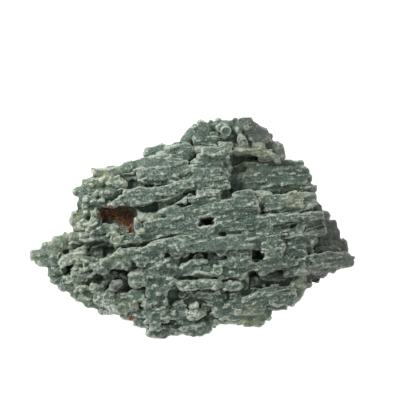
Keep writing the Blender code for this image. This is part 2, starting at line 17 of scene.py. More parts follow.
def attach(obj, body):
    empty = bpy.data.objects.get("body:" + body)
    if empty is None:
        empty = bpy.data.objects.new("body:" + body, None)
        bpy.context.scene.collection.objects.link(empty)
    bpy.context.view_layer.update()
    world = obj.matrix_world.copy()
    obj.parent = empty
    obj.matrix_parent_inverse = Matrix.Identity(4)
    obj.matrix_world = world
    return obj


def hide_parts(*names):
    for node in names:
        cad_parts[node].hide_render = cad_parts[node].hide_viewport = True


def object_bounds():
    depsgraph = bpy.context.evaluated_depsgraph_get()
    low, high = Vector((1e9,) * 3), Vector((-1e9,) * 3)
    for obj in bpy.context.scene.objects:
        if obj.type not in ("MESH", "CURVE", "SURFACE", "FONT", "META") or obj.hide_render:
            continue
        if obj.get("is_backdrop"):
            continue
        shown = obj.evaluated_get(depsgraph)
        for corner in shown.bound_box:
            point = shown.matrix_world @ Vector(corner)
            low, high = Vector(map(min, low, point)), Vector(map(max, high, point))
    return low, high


bl_info = {
    "name": "Zeolite crystal cluster",
    "version": (1, 0, 0),
    "blender": (4, 5, 0),
    "location": "3D View > Sidebar > Mineral",
    "description": "Builds a grey-green specimen of mineral fingers with its crystal crust and rust stain",
    "category": "Add Mesh",
}

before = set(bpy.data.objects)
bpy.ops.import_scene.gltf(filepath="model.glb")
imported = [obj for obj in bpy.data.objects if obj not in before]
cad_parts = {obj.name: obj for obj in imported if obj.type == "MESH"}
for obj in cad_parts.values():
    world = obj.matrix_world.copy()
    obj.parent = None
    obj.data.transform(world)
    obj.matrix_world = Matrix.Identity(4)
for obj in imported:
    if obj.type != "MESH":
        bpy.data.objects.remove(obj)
CAD_LOW, CAD_HIGH = (Vector(corner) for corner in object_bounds())
NODE = "crystal_cluster"
MM = 0.001

# The photograph's frame: what its centre looks at, in millimetres, the width that it spans and the camera's distance
AIM = (8.0, 10.0, 30.0)
FRAME_WIDTH = 208.0
CAMERA_DISTANCE = 1.3

# Glow of the light table and the sky, and the soft lamps: name, place, size and watts
TABLE_GLOW = 0.72
SKY_LIGHT = 0.42
LAMPS = (
    ("key", (-0.60, 0.46, 0.55), 0.32, 8.4),
    ("fill", (0.55, -0.20, 0.75), 0.60, 2.0),
)

# The face's form, as on the solid: its half size, its height at the middle and at the rim, how late it falls off,
# how far past the outline it would reach the rim's height, and the low swells across it
HALF_LENGTH = 81.5
HALF_WIDTH = 56.0
CREST_HEIGHT = 43.0
RIM_HEIGHT = 27.0
CREST_FALL = 2.2
CREST_MARGIN = 3.0
SWELL_HEIGHT = 1.6
SWELL_LENGTH = (19.0, 12.0)

# How far the sides pull in at the back, as a share of the outline, how unevenly, and up to which height
BASE_SCALE = 0.82
BASE_WANDER = 0.06
BELLY_HEIGHT = 20.0

# The mass inside: how far it lies in from the outline and down from the face, how wide it looks round for pits, how
# it is rounded in plan and in height, and how far it bulges down before it is cut flat. Fingers this much deeper in
# and down than its surface don't show
MASS_INSET = 3.6
MASS_COVER = 2.1
MASS_REACH = 0.9
MASS_ROUNDING = (0.7, 0.18)
MASS_BELLY = 8.0
MASS_DEEP = (3.5, 5.0)

# Layers of fingers that make the sides: heights, distance of the rows, radii, lengths, how deep they stay under the
# face and inside the outline, their slope in plan, the step between samples of a row, and their unevenness
FILL_LEVELS = (1.5, 7.0, 12.5, 18.0, 23.0)
FILL_ROW_STEP = 5.6
FILL_RADIUS = (2.7, 3.7)
FILL_LENGTH = (16.0, 38.0)
FILL_COVER = 3.5
SIDE_INSET = 2.0
FILL_SLOPE = 0.11
FILL_SAMPLE = 2.0
FILL_SHIFT = 1.1

# The layer just under the face, which shows in the gaps
UNDER_DEPTH = 4.4
UNDER_ROW_STEP = 5.0
UNDER_RADIUS = (2.2, 2.9)
UNDER_INSET = 3.2

# The face's fingers: share of the tables' heights, thickness, how far their ends are drawn out, and the depth of stubs
FACE_RELIEF = 0.85
FACE_SWELL = 1.15
END_DRAW = 1.2
STUB_DEPTH = 11.0

# Ends that a finger may have: length in radii and bluntness. Its stations: shares of an end, then the step between
# the ends. Stations of a lobe's round ends, in radii past its points
END_FORMS = ((0.45, 0.72), (0.7, 0.5), (1.0, 0.3), (1.6, 0.25))
END_STATIONS = (0.0, 0.12, 0.4, 1.0)
STATION_STEP = 1.3
LOBE_STATIONS = (1.0, 0.93, 0.75, 0.45, 0.1)

# Knobs on the flanks, for ten millimetres of finger and for a millimetre of a lobe's radius, their turn from straight
# up, and the turn of those on top
EDGE_KNOBS = 4
LOBE_KNOBS = 1.1
EDGE_TURNS = (1.25, 2.0)
UPPER_TURNS = (0.0, 1.2)

# Ribs along a finger's top: turn from straight up, thickness and how deep they are set, both as shares, where they
# start and how far they run as shares of the finger, and how far their end strays sideways
RIB_TURN = 1.25
RIB_SIZE = (0.20, 0.40)
RIB_SET = 0.25
RIB_START = (0.0, 0.5)
RIB_RUN = (0.3, 0.7)
RIB_STRAY = 0.6

# Knobs: thickness, how deep they are set and their half length, as shares, and their form from end to end
KNOB_SIZE = (0.24, 0.46)
KNOB_SET = 0.4
KNOB_REACH = (0.8, 1.8)
KNOB_FORM = ((-1.0, 0.35), (-0.7, 0.75), (0.0, 1.0), (0.7, 0.75), (1.0, 0.35))

# Gaps: share of the tables' depths, the height above which they are pressed in, fully at twice that, and the places
# round a point whose mean softens their walls
GAP_SHARE = 0.4
GAP_FLOOR = 9.0
GAP_STEPS = ((0, 0), (0.5, 0), (-0.5, 0), (0, 0.5), (0, -0.5), (0.35, 0.35), (-0.35, -0.35))

# Small fingers, first as long ones and then as lobes: radii, lengths in radii, turn from X and its spread, and the
# most that the ground may step under one. Then shares of its level and of the ground, and how deep it is set
SMALL_RADIUS = ((0.45, 0.85), (0.6, 1.3))
SMALL_LENGTH = ((5.0, 17.0), (2.0, 6.5))
SMALL_TURN = 0.12
SMALL_SPREAD = (0.06, 0.45)
SMALL_STEP = (3.5, 5.5)
SMALL_BED = (0.6, 0.4, 0.45)
SMALL_SHARES = (-1, -0.6, -0.2, 0.2, 0.6, 1)
# They are lobes below this y up to this x, and everywhere left of minus that x. Smooth areas lose this share of them
LOBED_Y = -16
LOBED_X = 36
SMOOTH_LOSS = 0.7

# Wide swells of every surface, as width and height, the width of its grit, and the least shell that is kept, in
# cubic metres
SWELLS = (0.0045, 0.0008)
GRIT_WIDTH = 0.0008
LEAST_SHELL = 2e-9

# What the tints mark, painted light and shade among them. Rounds of smoothing for fine and coarse forms, how far
# these stand out where the painted rim light or the painted shade of a hollow is full, and the share of each that
# doesn't count yet
FINE_ROUNDS = 8
COARSE_ROUNDS = 50
RIM_LIGHT_FULL = (0.00030, 0.0020, 0.2)
HOLLOW_SHADE_FULL = (0.0004, 0.0012, 0.1)
# The painted limb highlight lies on a flank between these slants, each the upward part of its normal and the width of
# the change there, and this near the top. Painted shade in a gap counts above this loss of sky, with the width of the
# change, and fades below this depth
LIMB_HIGHLIGHT_SLANT = (0.66, 0.26)
LIMB_HIGHLIGHT_FOOT = (0.05, 0.2)
TOP_BAND = 0.0012
GAP_SHADE = (0.30, 0.5)
GAP_SHADE_DEPTH = 0.020

# Crystals of the druse: spread of their size, lift over the surface, tilt, and the width of the patches they favour
DRUSE_SPREAD = (0.55, 1.35)
DRUSE_LIFT = 0.0001
DRUSE_TILT = 0.55
DRUSE_PATCH = 0.009

# Rust grains: number, size, its spread and their tilt, and the height above which rust lies, with its edge's width
RUST_GRAINS = 750
RUST_SIZE = 0.0006
RUST_SPREAD = (0.6, 2.2)
RUST_TILT = 0.8
RUST_FLOOR = 0.022
RUST_EDGE = 0.003

SEED = 16

# The face's outline, seen from above, from the left tip round by the near side
OUTLINE = (
    (-81, -14), (-72, -24), (-69, -28), (-55, -38), (-45, -43), (-33, -47), (-23, -53.5), (-16, -55.5), (-5, -52),
    (3, -54), (9, -52), (14, -46), (24, -46), (29, -49), (35, -48), (40, -42), (49, -40.5), (56, -32), (62, -27),
    (70, -23), (81, -20), (80.5, -12), (75, -4), (70, 6), (63, 17), (61, 28), (58, 33.5), (47, 34), (42, 44),
    (34, 51), (31, 55), (20, 53), (5, 54), (-2, 49), (-8, 42.5), (-22, 40.5), (-25, 35), (-36, 31), (-51, 27.5),
    (-60, 18), (-57.5, 9.5), (-61.5, 4), (-58.5, -2.5), (-68, -5), (-79, -11),
)

# Places where the face steps down: low x, low y, high x, high y, depth
PITS = (
    (19, 17, 64, 36, 9), (62, -13, 90, 30, 10), (57, -34, 70, -23, 10), (29, -30, 50, -22, 8),
    (-48, -32, -31, -21, 2), (-54, -15, -38, -7, 3), (-46, 1, -29, 10, 7), (-66, -23, -61, -19, 3),
    (-9, -18, 10, -12, 3.5), (30, -17, 36, -11, 4), (3, 1, 11, 4, 7),
)

# Fingers of the face: start x, start y, end x, end y, radius, height over the face's own level
CROWN = (
    (4, 49.5, 6.3, 53, 2.6, 0), (0.5, 47.5, 9.5, 50, 3.4, 1), (8, 51, 21, 50.8, 2.5, -1),
    (20.5, 46.5, 24, 50.5, 2.4, 0), (22, 51.5, 31, 52.2, 3.2, 1), (13, 52, 17.3, 47.8, 2.4, 3),
    (1, 44, 13, 45, 2.6, -1), (26, 48.3, 38, 47.3, 2.7, -1), (28, 43.3, 39.5, 43.6, 3.3, -2),
    (35.5, 45.6, 40.5, 45.3, 1.8, -3), (23.8, 46, 26.8, 40.8, 1.9, 3), (43, 41, 44.1, 35.8, 2.6, -4),
    (39, 40.5, 43.3, 41.2, 2.2, -4), (2.5, 41, 12, 41.3, 2.2, -2),
)
UPPER_LEFT = (
    (5, 37.3, 19, 38.6, 2.3, 5), (13.5, 40.2, 19.5, 40.2, 2.4, 3), (-13, 37.5, -5, 40, 3, 0),
    (-49.5, 26.6, -34, 28.6, 2.6, 0), (-34.5, 29.5, -20, 31.8, 2.9, 0), (-25, 31, -9, 34.6, 3.2, 1),
    (-55, 20.8, -39, 24.3, 2.7, 1), (-57, 17.4, -47, 19.6, 2.8, 0), (-41, 24, -34.4, 21.8, 2.7, 3),
    (-46, 20.5, -36, 20.5, 2.4, -1), (-27, 26.8, -12, 29, 3.4, 2), (-25, 24.2, -13, 25, 2.5, 2),
    (-17, 30, -3, 32, 3.4, 2), (-15, 25.8, -2, 28, 3.1, 2), (-12, 22.8, -4, 24.6, 2, 1),
    (-34, 16.9, -8, 18.7, 2.3, 5), (-12, 18.4, -2.4, 22, 2.3, 5), (-30, 13.5, -19.6, 14.2, 2.2, 5),
    (-20, 15.4, -4.6, 17.2, 1.8, 3), (-39.5, 11.6, -32.5, 14.8, 1.7, 4), (-47, 16.2, -33, 19, 2.6, 1),
    (-52.5, 13.4, -44, 14, 2, 2), (-57, 11.6, -49, 12.3, 2.1, 0), (-56.5, 14.6, -51, 16, 2.2, 0),
    (-44, 12.2, -40, 11.8, 1.6, 1),
)
UPPER_BLOCK = (
    (-1, 31.6, 9.5, 31.2, 1.9, 2), (8, 32.4, 14.8, 32, 1.5, 1), (-3, 28.6, 8.6, 29, 2.2, 3),
    (9.5, 29.3, 13.4, 29.2, 1.7, 3), (1, 26, 11.4, 26, 2, 3), (11, 26.6, 18.2, 26.4, 1.6, 2),
    (3, 23.6, 16.6, 24.2, 1.5, 4), (-2, 21.4, 10, 21.8, 1.9, 3), (9, 20.2, 18.6, 21.2, 1.7, 3),
    (2.5, 16.4, 13.6, 16.8, 1.9, 5), (-6, 24, 4, 24.3, 2.2, 1), (13, 30.8, 19.4, 29.2, 2.2, -2),
    (12, 35, 18, 34.8, 2, -2), (-16, 12.2, 1, 15.4, 1.9, 1), (3, 13.4, 14, 13.8, 1.4, 2),
    (3.5, 18.6, 15, 18.2, 1.4, 1),
)
RECESSED_SLAB = (
    (15.5, 31.6, 38, 31.4, 2.4, 1), (36, 32.2, 56.5, 31.6, 2.2, 1), (14.5, 28.4, 30, 27.8, 2.3, 0),
    (28, 28.2, 59, 28.8, 2.1, 2), (16, 25.4, 52, 25.6, 1.9, 2), (46, 25.2, 60, 25.6, 2, 2),
    (14.5, 22.6, 41, 22.2, 2, 1), (39, 21.6, 57, 23, 2.1, 2), (17, 19.4, 37, 19.6, 1.9, 0),
    (34, 18.8, 61, 20.2, 1.9, 1), (14.5, 16.8, 61, 17.4, 2.2, -1), (52, 14.8, 62, 15, 2.5, -2),
)
RIGHT_FLANK = (
    (56, 20.2, 62.8, 19.7, 1.6, 2), (50, 11.6, 65, 9.6, 2.6, 1), (50, 7.4, 69, 5.4, 2.6, 0),
    (55, 1.4, 72.8, 1.4, 2.6, 0), (55, -2.6, 74, -2.8, 2.4, 0), (56, -7, 78, -8.4, 2.6, 1),
    (58, -11.4, 78.6, -12, 2.6, 1), (52, -25.2, 64, -24.8, 2.4, 2), (50, -28.4, 60, -27.6, 2.2, 1),
)
RIGHT_BAND = (
    (33, 13, 46.4, 14.4, 2.5, 1), (36, 10, 54, 10.3, 2.1, 1), (47, 15, 52.5, 16.8, 2, 2),
    (50, 13.6, 54.8, 14, 1.6, 2), (42, 4.6, 65.2, 6.2, 2.1, 5), (54, 1.8, 65.4, 3, 1.3, 3),
    (32, 3.8, 46, 4.6, 2.7, 3), (34, 0.6, 47.5, 1.2, 2.2, 0), (56, -2.2, 66.5, -1.2, 2.1, 3),
    (37, -2.6, 55, -3, 2.3, 2),
)
MIDDLE_RIDGE = (
    (20.5, 15.4, 30.2, 17.4, 1.9, 2), (20, 13.4, 31, 14, 2.2, 3), (3, 8.2, 20, 10.6, 3, 3),
    (14, 9.6, 32, 10.6, 3.1, 4), (18, 6.4, 32.5, 7.4, 2.2, 2), (-6, 6.6, 3, 8.4, 2.6, 3), (-15, 8.6, -6, 8.2, 2.7, 2),
    (-22, 3.6, -11, 3.8, 3.4, 2), (-24.5, 0.4, -4, 2.4, 2.5, 2), (-25, -2.8, -6, -0.2, 2.2, 1),
    (-26, -5.8, -9, -2.6, 1.8, 0), (-13, 4.4, 3, 5, 3, 3), (-10, 0.8, 5, 0.4, 3, 2), (-6, -2.8, 9, -2.2, 2.5, 2),
    (3, -1, 13, -0.4, 2.1, 2), (11, 2.4, 28, 3.6, 2.4, 2), (13, -0.2, 27, -0.6, 1.7, 2), (12, 5, 30, 6, 2, 1),
    (25, 0.6, 35, 1, 2.3, 1),
)
LONG_FINGERS = (
    (-6, -8.6, 15, -7.8, 2.9, 5), (11, -7.6, 31, -6.4, 3.5, 5), (26, -5.6, 42, -5.2, 4, 4),
    (34, -9.6, 45.5, -8.2, 3.3, 5), (37, -12.2, 44, -10.6, 3, 5), (-20, -10, -12.5, -8.2, 2.7, 5),
    (18, -14.4, 29, -13.4, 2.6, 3), (20, -17, 28.6, -15.6, 2.6, 5), (17, -17.6, 24, -18, 2.2, 3),
    (-8, -19.6, 3, -19.4, 3.4, 1), (1, -21, 10, -20.6, 3.2, 2), (12, -22.2, 27, -22, 2.5, 2),
    (9, -18, 20, -17.6, 2.2, -1), (8, -14.6, 17, -14.2, 2.2, -2), (24, -19, 44, -17.6, 2.4, 2),
    (33.8, -21.6, 40, -19.8, 2, 4),
)
RIGHT_TIP = (
    (45, -10.6, 57, -8.4, 2.8, 2), (38, -15.4, 57, -13.2, 2.5, 2), (50, -6.2, 62, -6.4, 2.4, 1),
    (60, -12.4, 73, -10.9, 2.2, 5), (59, -15.4, 79.6, -14.4, 2.2, 2), (52, -17.8, 81.2, -17.4, 2.6, 3),
    (44, -18, 58, -16.6, 2.6, 2), (55, -20.8, 63.2, -19.4, 1.9, 5), (60, -20.8, 72, -19.8, 2.2, 2),
    (46, -21.4, 58, -21.2, 2.4, 2), (48, -24.6, 52, -23.4, 2.2, 3), (33, -24, 47, -23.8, 2.3, 2),
    (33, -27.2, 50, -27.2, 2.4, 1),
)
LOWER_RIGHT = (
    (29, -32.6, 52, -31.4, 2.4, 2), (19, -35.2, 38, -33.6, 2.4, 2), (17, -38.2, 37, -36.6, 2.8, 3),
    (11, -41, 36, -39.8, 3, 3), (13, -43.4, 33, -42.4, 2.4, 1), (39, -35.4, 49, -36, 2.5, 4),
    (37, -38.6, 47.5, -38.6, 2.1, 2), (26, -46, 36, -45.8, 2.8, 2), (32, -43.4, 38, -42.6, 2.6, 3),
    (4, -34.4, 17, -35, 2.6, 0), (14, -32, 27, -31.4, 1.9, -2),
)
LOWER_MIDDLE = (
    (-7.6, -28.2, 14.5, -27.6, 2.3, 6), (16.5, -28.6, 23.8, -28.4, 2.3, 5), (-2, -31.2, 13, -31.6, 1.9, 0),
    (29, -27, 32.4, -28, 2.5, 2), (-22, -17.8, -10, -18, 3.6, 4), (-20, -22, -10.6, -23.4, 3.6, 4),
    (-17, -27, -17, -39, 3.2, 3), (-14.6, -41, -12.6, -45, 2.8, 4), (-19.6, -45.6, -17, -49, 2.7, 4),
    (-23.5, -41, -16.5, -42, 2.6, 2), (-22.5, -50.6, -12.5, -52.4, 3.2, 2), (-13, -50.8, -4, -50, 2.6, 1),
    (-5, -49.2, 5, -51.6, 3, 2), (0, -48, 8.2, -49.6, 3, 3), (7, -46.4, 12, -46.4, 2.2, 1),
    (-9.5, -42.6, -2, -42, 2.8, 2), (-9, -46.8, 3, -46.6, 2.8, 0), (-1, -43.4, 4.8, -41.8, 2.7, 6),
    (5, -38.6, 12, -38, 2.6, 0),
)
LOWER_LEFT = (
    (-81.3, -13.6, -68, -12.2, 2.5, 1), (-78.6, -16.2, -66, -17, 2.3, 1), (-76, -10.6, -64, -8.6, 2.6, 1),
    (-70, -7, -62, -6.4, 2.7, 2), (-63.5, -4.6, -51, -4.2, 2.4, 1), (-70, -13.8, -65, -14.6, 2.6, 3),
    (-65.5, -16.2, -54, -14.2, 2.5, 5), (-61, -13.6, -53.6, -12, 2.3, 4), (-56, -16.4, -46, -18, 2.4, 2),
    (-46, -18.2, -34, -14.4, 2.2, 4), (-49, -19.6, -41, -20.4, 2.5, 5), (-38, -16.6, -33, -17.6, 2.8, 5),
    (-72, -21.6, -63, -19.6, 2.4, 1), (-60, -22.4, -50, -22.2, 2.6, 1), (-71, -25.4, -58, -26.8, 2.6, 0),
    (-67, -28.8, -56, -29.8, 2.6, 1), (-61, -32.6, -49, -35.8, 2.5, 0), (-54, -36.4, -43, -38.4, 2.5, 0),
    (-52, -31.8, -44, -30.2, 2.8, 1), (-48, -35, -35, -36.2, 3, 2), (-43, -39.4, -27, -38.6, 2.7, 2),
    (-46, -41.4, -38, -41, 1.9, 0), (-36, -42.4, -23, -44.4, 2.6, 1), (-29, -46.6, -20, -47.6, 2.5, 1),
    (-36, -34.8, -24, -33.6, 2.7, 1), (-40, -31, -35, -26.4, 1.9, 6), (-44, -27.6, -38, -24, 2, 1),
    (-31, -20.6, -24, -20, 2.2, -1),
)
LEFT_LOBE = (
    (-58.2, 5, -52, 5.6, 3.3, 1), (-58.4, 0.8, -51, 0.8, 2.9, 1), (-55, 8.6, -49, 8.4, 2.2, 1),
    (-47.6, 8, -47, 1, 2.2, 3), (-45, -1, -38, -0.4, 2, 1), (-46, -4.6, -31, -3, 2.4, 0),
    (-27.6, 4.8, -26, -2.6, 1.8, 4), (-33, -5.6, -26, -4.6, 2.2, 0),
)

# Rounded lobes of the face, with round ends: start x, start y, end x, end y, radius, height over the face
UPPER_LOBES = (
    (-21.5, 37.4, -14.5, 39, 3.3, -3), (-11.3, 37.6, -10.6, 39, 3.2, -1), (-3.8, 36.6, -2.8, 37.4, 4.6, 2),
    (-3.5, 43, -0.5, 47.5, 3, -1), (1.2, 48.6, 2.2, 48.9, 3, 0), (-23, 27, -21.5, 28.5, 4.4, 2),
    (-18, 32, -16.8, 33, 3.2, 1), (-12.5, 26.5, -9, 29, 3.4, 1), (-7, 31.6, -5, 31.9, 2.2, 2),
    (-3.4, 32.2, -2.8, 32.6, 1.5, 3), (-28, 28.5, -27, 29.5, 3, 0), (-37.2, 23, -34, 21.6, 2.4, 4),
    (-53, 13.8, -52.2, 14, 1.7, 4), (-45.6, 13.9, -43.8, 13.7, 1, 4), (-57.5, 18, -56, 18.6, 2.4, 0),
    (-58.6, 3.8, -57.8, 3.4, 3.2, 0), (-58, -0.4, -55, -0.8, 2, -1), (-53.8, 10.8, -52.6, 10.9, 1.4, 3),
    (-47.3, 1.5, -46, -1, 1.9, 4), (-49.5, -2.5, -49, -3.8, 1.9, 4), (-45, 2.6, -40, 1.4, 1.8, -4),
    (-37.5, 0.8, -35, -0.6, 1.6, -3), (-46.4, 8.6, -45.4, 9.6, 1.3, -2), (-30.4, 9.6, -29, 8.6, 1.3, -2),
    (-29.6, 1.4, -29, -1.8, 1.2, -2),
)
CROWN_LOBES = (
    (3.6, 35.6, 3.8, 34.8, 1.6, 4), (17.6, 35.6, 17.8, 35.2, 1.4, 4), (14.6, 41, 18.6, 41.2, 1.7, 3),
    (17.6, 31.6, 17.4, 30.2, 2.6, -3), (24.4, 43.8, 25.8, 41.6, 2, 3), (26.4, 50.4, 27.6, 52, 2.2, 2),
    (30.6, 51, 31.6, 50.4, 2.4, 1), (23.4, 47.6, 22.8, 49, 1.5, 2), (31, 43.8, 37, 44, 3, -1),
    (44, 41, 43, 41.2, 1.9, -3), (44.6, 39, 45, 36, 2.2, -4),
)
MIDDLE_LOBES = (
    (-14.2, 8.6, -9.5, 9.1, 2.5, 2), (-5.4, 7.4, -1.4, 8.8, 2, 4), (-20.4, 4.2, -19.8, 4.4, 3.2, 3),
    (1.2, 14.8, 1.4, 13.8, 1.7, 4.5), (-3.6, 12.8, -3.2, 13, 1.3, 2), (-8, -9.4, -7.2, -9.2, 4.6, 5),
    (-3.4, -11.2, -3.3, -12.8, 2.3, 4), (14, -10.2, 14, -12, 2, 4), (7.6, -4.2, 10.4, -1, 1.4, 3.5),
    (11.2, 0.8, 15.8, 3.2, 1.6, 3), (-17.2, -7.8, -16.8, -8.4, 2, 4), (-20.4, -10.2, -20, -10.8, 2.3, 5),
    (-15.6, -10, -15, -12.8, 1.8, 5), (-27, -15, -22.5, -14, 2.6, 5), (-25.2, -16.6, -25.2, -18.6, 1.2, 4),
    (31, 9.8, 31.8, 9.4, 2.2, 4), (38.5, 0, 38.5, 2, 1.9, 3),
)
RIGHT_LOBES = (
    (39.5, -8, 42, -8.6, 4.8, 3.5), (44.8, -8.6, 44.9, -9, 2, 6), (43.9, -11, 44, -11.3, 1.5, 6),
    (40.4, -6.4, 40.8, -6.8, 1.8, 6), (38.8, -10.4, 39.2, -10.8, 1.7, 6), (38, -13.8, 42.5, -13.2, 2.6, 5),
    (60.5, -2, 65.5, -2.2, 2.4, 3), (62, -11.8, 71.5, -11, 2.3, 5), (72.3, -11, 72.8, -11.4, 2, 5),
    (53.5, 12.6, 54.2, 11, 1.6, 4), (50, 11.2, 54, 10.8, 1.9, 3), (65, 6.8, 65, 2.6, 1.3, 5),
    (60.2, -6.6, 59.8, -7.8, 1, 5), (34.6, -21.6, 38.5, -20.4, 2, 4), (33, -22.3, 33.6, -22.4, 1.2, 4.5),
    (48, -25.6, 49.8, -25.8, 1.8, 3), (56.5, 20, 60.5, 19.4, 1.7, 0),
)
LOWER_MIDDLE_LOBES = (
    (-20.5, -17.8, -14, -16.6, 2.6, 3), (-12, -17.2, -9.4, -19.2, 2.4, 3), (-28.8, -23.6, -26.6, -23.2, 2.9, 5),
    (-29.2, -26.8, -27.4, -27.6, 2.7, 5), (-25.6, -25.4, -24.4, -25, 3.2, 5.5), (-21, -27.5, -21.2, -33, 1.9, 4),
    (-16.8, -26.5, -17.2, -33, 2.3, 4), (-13, -25.5, -13.6, -32, 2, 4), (-10, -25.5, -10.2, -27, 1.8, 5),
    (-23.2, -36.8, -22.4, -37.2, 2, 3), (-18.2, -36.6, -17.8, -37.2, 2.2, 4), (-13.6, -36, -13.4, -37, 2.1, 4),
    (-14.2, -42, -12.8, -44.8, 2.3, 5), (-19.2, -46, -17, -49, 2.4, 5), (-8.2, -38.2, -5.6, -37.6, 2, 1),
    (0.6, -43.2, 4.8, -42.2, 2.6, 5), (2.4, -37.6, 2.6, -38.6, 1.2, 6), (0.4, -39.2, 0.8, -38.4, 1.2, 4),
    (3.4, -32.4, 3.6, -32.8, 1.7, 3), (8, -33.6, 9.4, -33.4, 2, 2), (12.6, -31.6, 13, -32, 1.4, 3),
    (18, -28.8, 22.8, -28.8, 2.2, 5), (19, -27.4, 19.6, -27.6, 1.6, 6), (-20, -52, -14.5, -52.6, 3.3, 2),
    (-9, -52, -8, -52, 2.2, 1), (-4, -50.6, 3.6, -52, 2.6, 2), (6.4, -49.6, 7.4, -50.2, 3, 2),
    (11.2, -46.8, 11.8, -47, 2.2, 1), (-5.6, -43, -5, -42.6, 2.4, 2), (-9.3, -41.9, -8.4, -41, 0.8, 5),
)
LOWER_RIGHT_LOBES = (
    (32, -27, 32.6, -28, 2.3, 3), (31.8, -25, 32, -25.4, 1.2, 3), (14.6, -43.6, 15.2, -43.8, 2, 1),
    (19.6, -44.2, 20.6, -44.2, 2, 1), (25, -45.2, 34.5, -44.6, 1.7, 2), (27, -48, 35, -47.2, 1.8, 2),
    (38.6, -42.4, 37, -44.2, 1.6, 1), (45.5, -35, 49, -36.4, 2.3, 3), (42, -34.6, 42.4, -35, 0.8, 5),
)
LOWER_LEFT_LOBES = (
    (-33.2, -17.2, -32.2, -16.6, 2.9, 5), (-47, -20, -42, -19.2, 2.6, 4), (-38.5, -17.8, -36.8, -16.6, 1.8, 4),
    (-40.4, -30.8, -37.4, -27.2, 0.8, 0.5), (-38.6, -30.8, -35.4, -27, 0.8, 0.8),
    (-37, -30.4, -34.2, -27.4, 0.7, 0.4), (-45, -27.6, -41.4, -24.6, 0.9, 0), (-42.6, -23.2, -38.4, -22.4, 1.2, 0.5),
    (-35.6, -23.6, -33, -24.8, 1.4, 0.5), (-56.5, -29.6, -55.5, -30, 2, 3), (-49.4, -28.6, -48.8, -29.2, 1.7, 3),
    (-46.6, -30, -45.2, -30.8, 1.7, 3), (-44, -33.6, -40, -33.2, 1.8, 3), (-55.8, -22.6, -54.6, -23, 1.9, 3),
    (-52, -22, -50.8, -23.4, 1.6, 3), (-66, -21.8, -65, -22.6, 1.8, 2), (-62, -26, -60, -26.4, 1.7, 3),
    (-58, -26.6, -55.8, -25.6, 1.5, 2), (-69.6, -25.6, -68.8, -26.2, 1.9, 1), (-45.6, -41.4, -44.4, -41.8, 1.9, 1),
    (-66.6, -7.6, -65.4, -8, 2.5, 3), (-69.2, -16.6, -68.2, -17.2, 2.2, 3), (-72, -12, -66.8, -12.4, 2.3, 2),
)

# Short fingers that stand out of the face: tip x, tip y, radius, height over the face, lean along x, lean along y
STUBS = (
    (-37.6, -5, 2.5, 4, 0.5, 1), (-47.6, -12, 3, -2, 1.5, -1), (-52, -18.3, 1.9, 4.5, 0.5, -1),
    (3.4, -15, 2.4, 4.5, 1.4, 2), (12.8, -20.6, 2.2, 4.5, 0, 0.5), (-5, -32.9, 1.5, 0.5, 0.5, 1),
    (54, 0.3, 1.9, 3.5, 1.5, 0.5), (17, 48, 2.3, 4, 0.6, -1.4),
)

# Fingers with a bend: radius, height over the face, then the points that the finger passes, x and y
BENT = (
    (1.45, 1.5, ((20.5, 38.6), (28, 38.4), (34.5, 37.4), (39.5, 36.2), (42.4, 34.4), (42.8, 32.6))),
    (2.5, 0.5, ((54.4, -22.8), (54.4, -28.6), (52.4, -33.4), (47.4, -38))),
    (1.5, 4.5, ((-46, -16.6), (-42, -15.6), (-36.5, -12.9), (-31, -11.2), (-24, -10.6))),
    (1.1, 5, ((41.8, -33.6), (39.2, -34.4), (39, -36.4), (41.4, -37.9), (44, -37.6))),
    (2.1, 4, ((-47.8, 9), (-48.2, 4), (-49.8, 0), (-50, -3.6))),
    (0.9, 4.5, ((-27.6, 5), (-27.2, 0.5), (-26.4, -2.4), (-25.2, -1.2), (-24.6, 0))),
)

